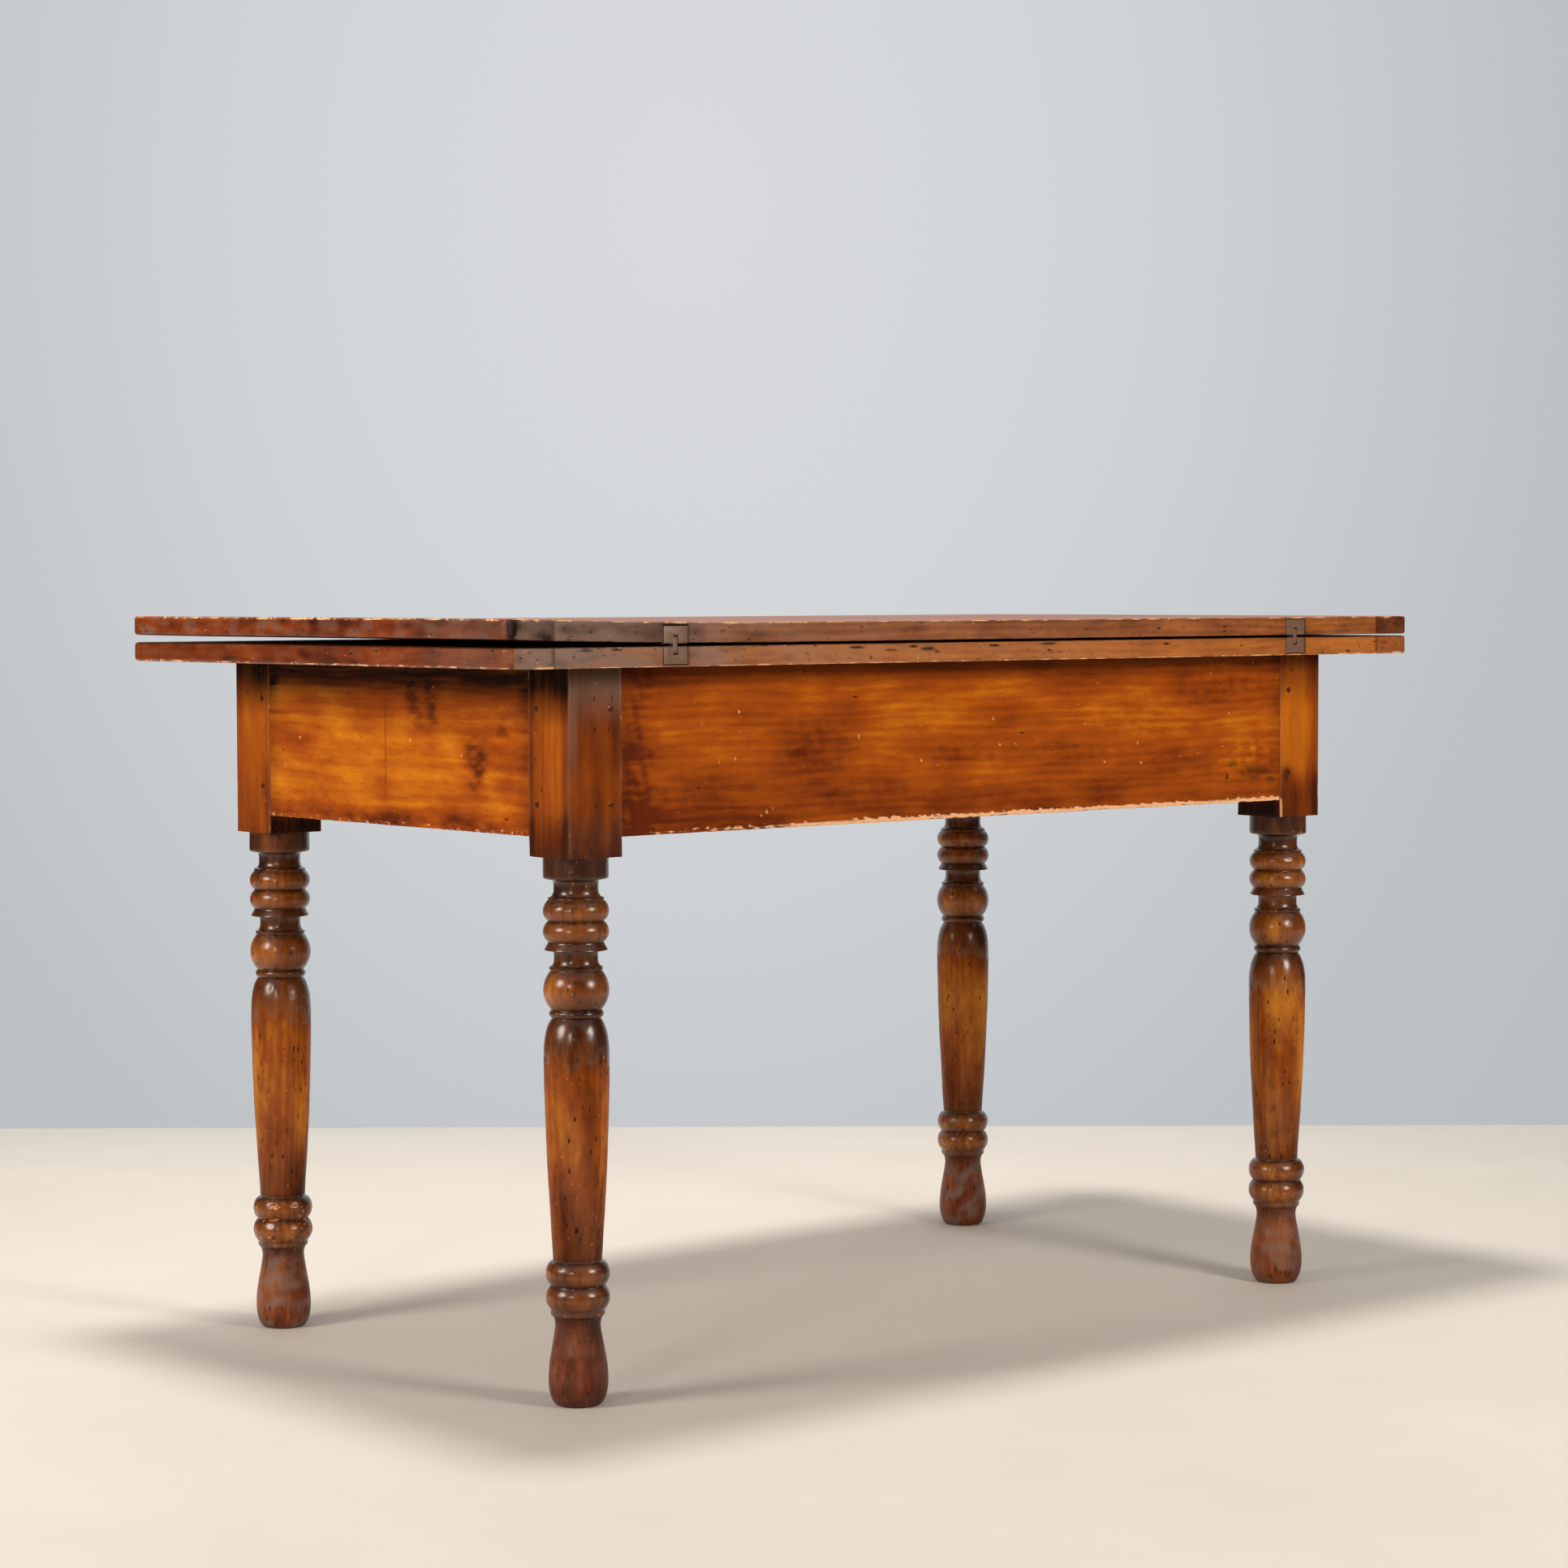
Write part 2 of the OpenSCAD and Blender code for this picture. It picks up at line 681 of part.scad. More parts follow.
// The whole leaf in one piece, play face at z = 0 and body above it
module leaf_blank(rise) {
    intersection() {
        leaf_layer(0, leaf_thickness, rise);
        translate([0, 0, -over])
            linear_extrude(leaf_thickness + rise + 2 * over) leaf_plan();
        rotate([90, 0, 90])
            linear_extrude(leaf_length + 2 * over, center = true)
                eased_section(leaf_width, leaf_thickness + rise + over, meeting_ease);
    }
}

// One long board of a leaf, with a tongue at each end
module leaf_board(number, rise) {
    low_y = edge_y + number * board_width;
    high_y = low_y + board_width;
    tongue_low_y = max(low_y, edge_y + tongue_stop);
    tongue_high_y = min(high_y, -edge_y - tongue_stop);
    mid = leaf_thickness / 2;
    intersection() {
        leaf_blank(rise);
        box_between([boards_left, low_y, -over],
            [boards_right, high_y, leaf_thickness + rise + over]);
    }
    intersection() {
        leaf_layer(mid - tongue_thickness / 2, mid + tongue_thickness / 2, rise);
        union() {
            box_between([boards_left - tongue_length, tongue_low_y, -over],
                [boards_left + over, tongue_high_y, leaf_thickness + rise + over]);
            box_between([boards_right - over, tongue_low_y, -over],
                [boards_right + tongue_length, tongue_high_y,
                    leaf_thickness + rise + over]);
        }
    }
}

// One end board of a leaf, with the groove for the tongues
module leaf_end(x_sign, rise) {
    joint_x = x_sign < 0 ? boards_left : boards_right;
    outer_x = x_sign * (leaf_length / 2 + over);
    groove_x = joint_x + x_sign * (tongue_length + tongue_gap);
    mid = leaf_thickness / 2;
    half_groove = tongue_thickness / 2 + tongue_gap;
    difference() {
        intersection() {
            leaf_blank(rise);
            box_between([min(joint_x, outer_x), edge_y - over, -over],
                [max(joint_x, outer_x), -edge_y + over, leaf_thickness + rise + over]);
        }
        intersection() {
            leaf_layer(mid - half_groove, mid + half_groove, rise);
            box_between(
                [min(joint_x - x_sign * over, groove_x),
                    edge_y + tongue_stop - tongue_gap, -over],
                [max(joint_x - x_sign * over, groove_x),
                    -edge_y - tongue_stop + tongue_gap, leaf_thickness + rise + over]);
        }
    }
}

// Brings a piece drawn over its play face to the upper or the lower leaf
module on_upper_leaf() {
    translate([0, 0, upper_z]) children();
}

module on_lower_leaf() {
    translate([0, 0, lower_top]) mirror([0, 0, 1]) children();
}

// Link hinges, drawn with the play face at z = 0 and the edge of the leaf at y = 0

module at_hinge(x_sign) {
    translate([x_sign * hinge_spacing / 2, edge_y, 0]) children();
}

// Section of a plate: solid knuckle at the edge, thin flange along the face
module plate_section() {
    translate([meeting_ease, 0]) square([knuckle_depth - meeting_ease, plate_height]);
    translate([0, meeting_ease]) square([knuckle_depth, plate_height - meeting_ease]);
    translate([meeting_ease, meeting_ease]) circle(meeting_ease);
    translate([meeting_ease, 0])
        square([flange_length - meeting_ease, flange_thickness]);
}

module place_plate_screws() {
    for (spot = [[-0.27, 0.45], [0.27, 0.45], [0, 0.8]])
        translate([spot[0] * plate_width, spot[1] * flange_length, 0])
            mirror([0, 0, 1]) children();
}

module hinge_plate() {
    difference() {
        rotate([90, 0, 90]) linear_extrude(plate_width, center = true) plate_section();
        box_between([-link_width / 2 - link_side_gap, -over, -over],
            [link_width / 2 + link_side_gap, slot_depth, slot_depth]);
        translate([0, pin_inset, pin_inset]) rotate([0, 90, 0])
            cylinder(h = plate_width + 2 * over, r = pin_diameter / 2 + screw_gap / 2,
                center = true);
        place_plate_screws() wood_screw(plate_screw_length, screw_gap);
    }
}

// What a hinge takes out of its leaf
module hinge_recess() {
    half = plate_width / 2 + recess_gap;
    box_between([-half, -over, -over],
        [half, knuckle_depth + recess_gap, plate_height + recess_gap]);
    box_between([-half, -over, -over],
        [half, flange_length + recess_gap, flange_thickness + recess_gap]);
    place_plate_screws() wood_screw(plate_screw_length, screw_gap);
}

module hinge_pin() {
    translate([0, pin_inset, pin_inset]) rotate([0, 90, 0])
        cylinder(h = pin_length, r = pin_diameter / 2, center = true);
}

module hinge_link(x_sign) {
    bore = pin_diameter / 2 + pin_running_gap;
    color("#5b4a3f") translate([x_sign * hinge_spacing / 2, 0, 0]) rotate([90, 0, 90])
        linear_extrude(link_width, center = true) difference() {
            union() {
                translate([pin_y - link_eye_radius, lower_pin_z])
                    square([2 * link_eye_radius, upper_pin_z - lower_pin_z]);
                for (z = [lower_pin_z, upper_pin_z])
                    translate([pin_y, z]) circle(link_eye_radius);
            }
            for (z = [lower_pin_z, upper_pin_z]) translate([pin_y, z]) circle(bore);
        }
}

// Upper leaf

module upper_board(number) {
    color("#8f5632") difference() {
        on_upper_leaf() leaf_board(number, warp_rise);
        for (x_sign = [-1, 1]) on_upper_leaf() at_hinge(x_sign) hinge_recess();
    }
}

module upper_end(x_sign) {
    color("#8f5632") on_upper_leaf() leaf_end(x_sign, warp_rise);
}

module upper_hinge_plate(x_sign) {
    color("#6b5448") on_upper_leaf() at_hinge(x_sign) hinge_plate();
}

module upper_hinge_pins() {
    color("#4c4038") for (x_sign = [-1, 1]) on_upper_leaf() at_hinge(x_sign) hinge_pin();
}

module upper_hinge_screws() {
    color("#4c4038") for (x_sign = [-1, 1]) on_upper_leaf() at_hinge(x_sign)
        place_plate_screws() wood_screw(plate_screw_length);
}

// Lower leaf

module pivot_plate_recess() {
    half = pivot_plate_size / 2 + recess_gap;
    box_between([pivot_x - half, pivot_y - half, lower_z - over],
        [pivot_x + half, pivot_y + half, plate_top + recess_gap]);
    place_pivot_screws() wood_screw(plate_screw_length, screw_gap);
}

module place_pivot_screws() {
    reach = pivot_plate_size / 2 - pivot_screw_inset;
    for (x_sign = [-1, 1], y_sign = [-1, 1])
        translate([pivot_x + x_sign * reach, pivot_y + y_sign * reach, lower_z])
            mirror([0, 0, 1]) children();
}

module place_stop_screws() {
    for (x = [stop_screw_inset, stop_length - stop_screw_inset])
        translate([pivot_x + stop_reach + x, (stop_front + stop_back) / 2,
                lower_z - stop_height])
            mirror([0, 0, 1]) children();
}

module lower_board(number) {
    color("#8f5632") difference() {
        on_lower_leaf() leaf_board(number, 0);
        for (x_sign = [-1, 1]) on_lower_leaf() at_hinge(x_sign) hinge_recess();
        pivot_plate_recess();
        place_stop_screws() wood_screw(stop_screw_length, screw_gap);
    }
}

module lower_end(x_sign) {
    color("#8f5632") on_lower_leaf() leaf_end(x_sign, 0);
}

module lower_hinge_plate(x_sign) {
    color("#6b5448") on_lower_leaf() at_hinge(x_sign) hinge_plate();
}

module lower_hinge_pins() {
    color("#4c4038") for (x_sign = [-1, 1]) on_lower_leaf() at_hinge(x_sign) hinge_pin();
}

module lower_hinge_screws() {
    color("#4c4038") for (x_sign = [-1, 1]) on_lower_leaf() at_hinge(x_sign)
        place_plate_screws() wood_screw(plate_screw_length);
}

// Pivot

// The stud with its riveted head, grown by a gap, from the given foot up
module stud_shape(foot_z, gap = 0) {
    translate([pivot_x, pivot_y, 0]) rotate_extrude() polygon([
        [0, foot_z], [stud_radius + gap, foot_z],
        [stud_radius + gap, plate_top - rivet_spread],
        [stud_radius + rivet_spread + gap, plate_top],
        [0, plate_top]
    ]);
}

module pivot_plate() {
    half = pivot_plate_size / 2;
    color("#5f5148") difference() {
        box_between([pivot_x - half, pivot_y - half, lower_z],
            [pivot_x + half, pivot_y + half, plate_top]);
        stud_shape(lower_z - over, screw_gap / 2);
        place_pivot_screws() wood_screw(plate_screw_length, screw_gap);
    }
}

module pivot_plate_screws() {
    color("#4c4038") place_pivot_screws() wood_screw(plate_screw_length);
}

module pivot_stud() {
    color("#6e625a") stud_shape(nut_bottom - stud_tail);
}

module pivot_washer() {
    color("#7a6e66") translate([pivot_x, pivot_y, nut_top]) difference() {
        cylinder(h = washer_thickness, d = washer_diameter);
        translate([0, 0, -over])
            cylinder(h = washer_thickness + 2 * over, r = stud_radius + screw_gap);
    }
}

module pivot_nut() {
    color("#6e625a") difference() {
        translate([pivot_x - nut_size / 2, pivot_y - nut_size / 2, nut_bottom])
            cube([nut_size, nut_size, nut_height]);
        translate([pivot_x, pivot_y, nut_bottom - over])
            cylinder(h = nut_height + 2 * over, r = stud_radius + screw_gap / 2);
    }
}

module stop_block() {
    color("#b98a55") difference() {
        box_between([pivot_x + stop_reach, stop_front, lower_z - stop_height],
            [pivot_x + stop_reach + stop_length, stop_back, lower_z]);
        place_stop_screws() wood_screw(stop_screw_length, screw_gap);
    }
}

module stop_block_screws() {
    color("#4c4038") place_stop_screws() wood_screw(stop_screw_length);
}

leg(-1, -1);  // leg_front_left
leg(1, -1);  // leg_front_right
leg(-1, 1);  // leg_back_left
leg(1, 1);  // leg_back_right
long_apron(-1);  // front_apron
long_apron(1);  // back_apron
end_apron(-1);  // left_apron
end_apron(1);  // right_apron
joint_pegs();
pivot_rail();
ledger(-1);  // front_ledger
ledger(1);  // back_ledger
ledger_nails();
well_board(1);  // well_board_1
well_board(2);  // well_board_2
well_board(3);  // well_board_3
well_board(4);  // well_board_4
well_board(5);  // well_board_5
well_board_nails();
lower_board(0);  // lower_front_board
lower_board(1);  // lower_middle_board
lower_board(2);  // lower_back_board
lower_end(-1);  // lower_left_end
lower_end(1);  // lower_right_end
lower_hinge_plate(-1);  // lower_left_hinge_plate
lower_hinge_plate(1);  // lower_right_hinge_plate
lower_hinge_pins();
lower_hinge_screws();
pivot_plate();
pivot_plate_screws();
pivot_stud();
pivot_washer();
pivot_nut();
stop_block();
stop_block_screws();
hinge_link(-1);  // left_hinge_link
hinge_link(1);  // right_hinge_link
upper_board(0);  // upper_front_board
upper_board(1);  // upper_middle_board
upper_board(2);  // upper_back_board
upper_end(-1);  // upper_left_end
upper_end(1);  // upper_right_end
upper_hinge_plate(-1);  // upper_left_hinge_plate
upper_hinge_plate(1);  // upper_right_hinge_plate
upper_hinge_pins();
upper_hinge_screws();
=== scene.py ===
from itertools import product

import bmesh
import bpy
import numpy as np
from mathutils import Matrix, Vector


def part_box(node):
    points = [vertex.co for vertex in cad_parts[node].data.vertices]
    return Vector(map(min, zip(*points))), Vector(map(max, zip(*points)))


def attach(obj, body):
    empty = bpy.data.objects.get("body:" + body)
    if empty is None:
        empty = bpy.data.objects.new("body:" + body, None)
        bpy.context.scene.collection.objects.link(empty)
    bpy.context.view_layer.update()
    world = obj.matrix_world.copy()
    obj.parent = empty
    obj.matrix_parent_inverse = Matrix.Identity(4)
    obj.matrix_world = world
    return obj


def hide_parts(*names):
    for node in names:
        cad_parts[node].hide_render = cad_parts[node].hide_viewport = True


# Swivel-top table: the looks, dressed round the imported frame. Lengths in this script are
# millimetres until a piece is made, where MM turns them into metres.

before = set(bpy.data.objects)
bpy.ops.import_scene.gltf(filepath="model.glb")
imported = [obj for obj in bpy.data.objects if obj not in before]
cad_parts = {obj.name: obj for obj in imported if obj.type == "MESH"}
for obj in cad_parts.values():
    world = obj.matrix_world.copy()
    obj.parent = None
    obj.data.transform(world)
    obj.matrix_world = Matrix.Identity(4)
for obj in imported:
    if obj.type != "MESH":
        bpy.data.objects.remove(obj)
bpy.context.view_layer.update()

MM = 0.001
# Mesh points within this many metres are one, and a seed may move the grain this many
# millimetres
WELD, GRAIN_SHIFT = 2e-6, 900


def box_of(node):
    """Lowest and highest corner of a CAD node, in millimetres."""
    low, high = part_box(node)
    return np.array(low) / MM, np.array(high) / MM


# Places and sizes taken from the frame
post_low, post_high = box_of("leg_front_left")
POST = post_high[0] - post_low[0]
POST_INNER_X, POST_INNER_Y = -post_high[0], -post_high[1]
FRAME_HEIGHT = post_high[2]
apron_low, apron_high = box_of("front_apron")
APRON_BOTTOM = apron_low[2]
APRON_OUTER_Y, APRON_INNER_Y = -apron_low[1], -apron_high[1]
side_low, side_high = box_of("left_apron")
APRON_OUTER_X, APRON_INNER_X = -side_low[0], -side_high[0]
end_low, end_high = box_of("lower_right_end")
LEAF_HALF_LENGTH, LEAF_HALF_WIDTH, LOWER_PLAY_Z = end_high
LEAF_THICKNESS = end_high[2] - end_low[2]
UPPER_PLAY_Z = box_of("upper_right_end")[0][2]
WARP_RISE = box_of("upper_left_end")[1][2] - UPPER_PLAY_Z - LEAF_THICKNESS
BOARDS_LEFT, BOARDS_RIGHT = box_of("lower_left_end")[1][0], end_low[0]
plate_low, plate_high = box_of("lower_left_hinge_plate")
PLATE_WIDTH, _, PLATE_HEIGHT = plate_high - plate_low
HINGE_X = -(plate_low[0] + plate_high[0]) / 2

# Sizes that the CAD source names and the boxes don't show
WARP_START = 305
CORNER_RADIUS = 18
KNUCKLE_DEPTH = 11
FLANGE_LENGTH, FLANGE_THICKNESS = 45, 2.5
PEG_RADIUS, PEG_PROUD, PEG_INSET, PEG_RISES = 3.5, 0.4, 14, (31.5, 126.5)
BOARD_COUNT = 3
BOARD_WIDTH = 2 * LEAF_HALF_WIDTH / BOARD_COUNT

# Wear: how far the arrises are eased and how deep the chips in them go
SEAM_EASE, PLAY_EASE, OUTER_EASE, APRON_EASE, POST_EASE = 0.5, 2.0, 0.9, 1.2, 1.0
END_EASE, END_PLAY_EASE, CHIP_DEPTH, EDGE_CHIP_DEPTH = 3.4, 2.8, 1.4, 0.6

# Spacing of the points along the aprons and the boards, and their number up a turned leg
# and along an end board
APRON_STEP, BOARD_STEP, LEG_POINTS, END_POINTS = 2.6, 3.0, 300, 230


# Shapes. A skin is an array of rows by columns of points, closed round its columns.

def ripple(points, size, seed, waves=14):
    """Smooth random field about -1 to 1: the sum of sines along random directions. Each
    wave is 0.7 to 1.5 sizes long, and size may differ along X, Y and Z."""
    draw = np.random.default_rng(seed)
    heading = draw.normal(size=(waves, 3))
    heading /= np.linalg.norm(heading, axis=1)[:, None]
    pitch = 2 * np.pi / draw.uniform(0.7, 1.5, (waves, 1)) / np.asarray(size, float)
    phase = draw.uniform(0, 2 * np.pi, waves)
    return np.sin(points @ (heading * pitch).T + phase).sum(-1) / np.sqrt(waves)


def fade(value, low, high):
    """0 below low, 1 above high, and a smooth cubic between them."""
    share = np.clip((value - low) / (high - low), 0, 1)
    return share * share * (3 - 2 * share)


def patches(points, size, seed, low, high):
    """Soft patches about so large: 0 where a ripple is below low, and 1 where above high."""
    return fade(ripple(points, size, seed), low, high)


def blob(points, centre, reach):
    """1 at the centre, falling as a bell to nothing about two reaches away."""
    offset = (points - np.asarray(centre, float)) / np.asarray(reach, float)
    return np.exp(-(offset ** 2).sum(-1))


def outward(skin):
    """Unit normals of a skin: the cross product of its steps along rows and columns."""
    along = np.gradient(skin, axis=0)
    around = np.roll(skin, -1, axis=1) - np.roll(skin, 1, axis=1)
    normal = np.cross(around, along)
    normal /= np.maximum(np.linalg.norm(normal, axis=-1, keepdims=True), 1e-9)
    centre = skin.mean(axis=1, keepdims=True)
    return normal if (normal * (skin - centre)).sum() > 0 else -normal


def loop(width, depth, radii, steps, breaks=((), (), (), ())):
    """Section of a board from (0, 0) to (width, depth): quarter arcs round the corners
    (0, 0), (0, depth), (width, depth), (width, 0), and straight sides between them with a
    point about every step, closer beside the arcs and at the breaks. Returns the points
    and, for each, 1 on an arc and 0 on a side."""
    corners = np.array([(0, 0), (0, depth), (width, depth), (width, 0)], float)
    headings = np.array([(0, 1), (1, 0), (0, -1), (-1, 0)], float)
    turn = np.linspace(0, np.pi / 2, 6)[:, None]
    points, arris = [], []
    for k in range(4):
        into, out, radius = headings[k - 1], headings[k], radii[k]
        centre = corners[k] - into * radius + out * radius
        points.append(centre + radius * (into * np.sin(turn) - out * np.cos(turn)))
        arris.append(np.ones(len(turn)))
        run = np.linalg.norm(corners[(k + 1) % 4] - corners[k])
        ends = radius, run - radii[(k + 1) % 4]
        places = np.linspace(*ends, max(2, int(np.ceil((ends[1] - ends[0]) / steps[k]))) + 1)
        near = [ends[0] + 1.2, ends[0] + 4, ends[1] - 4, ends[1] - 1.2] if run > 16 else []
        places = np.unique(np.concatenate([places[1:-1], near, breaks[k]]))[:, None]
        points.append(corners[k] + out * places)
        arris.append(np.zeros(len(places)))
    return np.concatenate(points), np.concatenate(arris)


def skin_mesh(name, skin, capped=True):
    """A skin as a closed mesh: quads between neighbouring rows, and a flat face over each
    end row where it is capped."""
    count, around = skin.shape[:2]
    index = np.arange(count * around).reshape(count, around)
    beside = np.roll(index, -1, axis=1)
    quads = np.stack([index[:-1], beside[:-1], beside[1:], index[1:]], -1).reshape(-1, 4)
    caps = [index[0][::-1].tolist(), index[-1].tolist()] if capped else []
    mesh = bpy.data.meshes.new(name)
    mesh.from_pydata((skin.reshape(-1, 3) * MM).tolist(), [], quads.tolist() + caps)
    return mesh


def heal(mesh):
    """Merges the doubles of a closed mesh, drops what has no length or area, and turns the
    faces outwards."""
    shape = bmesh.new()
    shape.from_mesh(mesh)
    bmesh.ops.remove_doubles(shape, verts=shape.verts, dist=WELD)
    bmesh.ops.dissolve_degenerate(shape, edges=shape.edges, dist=WELD / 2)
    if shape.calc_volume(signed=True) < 0:
        bmesh.ops.reverse_faces(shape, faces=shape.faces)
    shape.to_mesh(mesh)
    shape.free()


def show(name, data):
    """Adds an object with this data to the scene."""
    thing = bpy.data.objects.new(name, data)
    bpy.context.scene.collection.objects.link(thing)
    return thing


def read_points(items, field):
    """A vector of each vertex or face of a mesh, as rows of an array in millimetres."""
    flat = np.empty(len(items) * 3, np.float32)
    items.foreach_get(field, flat)
    return flat.reshape(-1, 3) / MM


def dress(name, mesh, body, finish, along, node, marks=None, seed=0, sharp=40, zones=None):
    """Makes a piece of a closed mesh, which rides on its body in place of its CAD node.
    finish is the record's slot and the material, or several materials where zones gives the
    number of one at points. Three values are noted at each vertex: grain, its place with the
    grain direction first; tone, how much darker or more golden the wood is, about -1 to 1, which
    in places is painted light and shade; and wear, the shares of dirt with painted shade, lost
    varnish, and grey haze with painted sheen. marks gives the last four at points, and seed moves
    the grain so that no two pieces share a pattern."""
    heal(mesh)
    points = read_points(mesh.vertices, "co")
    order = {"x": (0, 1, 2), "y": (1, 0, 2), "z": (2, 0, 1)}[along]
    shift = np.random.default_rng(seed).uniform(-GRAIN_SHIFT, GRAIN_SHIFT, 3)
    grain = (points[:, order] + shift) * MM
    blank = np.zeros(len(points))
    tone, *wear = [share + blank for share in (marks(points) if marks else (0, 0, 0, 0))]
    wear = np.clip(np.stack(wear, 1), 0, 1)
    for label, kind, field, values in (("grain", "FLOAT_VECTOR", "vector", grain),
                                       ("wear", "FLOAT_VECTOR", "vector", wear),
                                       ("tone", "FLOAT", "value", tone)):
        mesh.attributes.new(label, kind, "POINT").data.foreach_set(
            field, values.astype(np.float32).ravel())
    mesh.shade_smooth()
    mesh.set_sharp_from_angle(angle=np.radians(sharp))
    slot, *materials = finish
    for material in materials:
        mesh.materials.append(material)
    if zones:
        index = zones(read_points(mesh.polygons, "center"))
        mesh.polygons.foreach_set("material_index", index.astype(np.int32))
    piece = show(name, mesh)
    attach(piece, body)
    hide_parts(node)


# Finishes

def linear(code, alpha=1.0):
    """Linear colour of an sRGB hex code."""
    channel = np.array([int(code[i:i + 2], 16) for i in (1, 3, 5)]) / 255
    low = channel / 12.92
    high = ((channel + 0.055) / 1.055) ** 2.4
    return (*np.where(channel <= 0.04045, low, high), alpha)


def add(tree, kind, links=None, out=0, stops=None, **settings):
    """Adds a shader node with its settings and links, and returns one of its outputs, or
    all of them where out is None. links gives each input, by name or number, a value or
    the output that feeds it, and stops gives a colour ramp its places and colours."""
    node = tree.nodes.new("ShaderNode" + kind)
    for key, value in settings.items():
        setattr(node, key, value)
    for key, source in (links or {}).items():
        if isinstance(source, bpy.types.NodeSocket):
            tree.links.new(source, node.inputs[key])
        else:
            node.inputs[key].default_value = source
    for number, (place, colour) in enumerate(stops or ()):
        spots = node.color_ramp.elements
        spot = spots[number] if number < len(spots) else spots.new(place)
        spot.position, spot.color = place, colour
    return node.outputs if out is None or not node.outputs else node.outputs[out]


def new_finish(name):
    """An empty node material and its tree."""
    finish = bpy.data.materials.new(name)
    finish.use_nodes = True
    finish.node_tree.nodes.clear()
    return finish, finish.node_tree


# Numbers of the colour sockets of a Mix node
FIRST, SECOND, MIXED = 6, 7, 2

# Old wax and dust, also used as a painted grey sheen, the bottom of a worm hole, and dirt in
# corners, also used as painted shade
HAZE_AND_SHEEN, PIT, DIRT_AND_SHADE = "#86695A", "#30140A", "#150603"

# The grain wanders a few millimetres sideways over a hand's length: the length and width of
# a bend in millimetres, and its reach in metres
WANDER, WANDER_REACH = (180, 70), (0.0, 0.014, 0.014)
# Metres from ring to ring of a wave texture of scale 1
WAVE_SPACING = 0.314


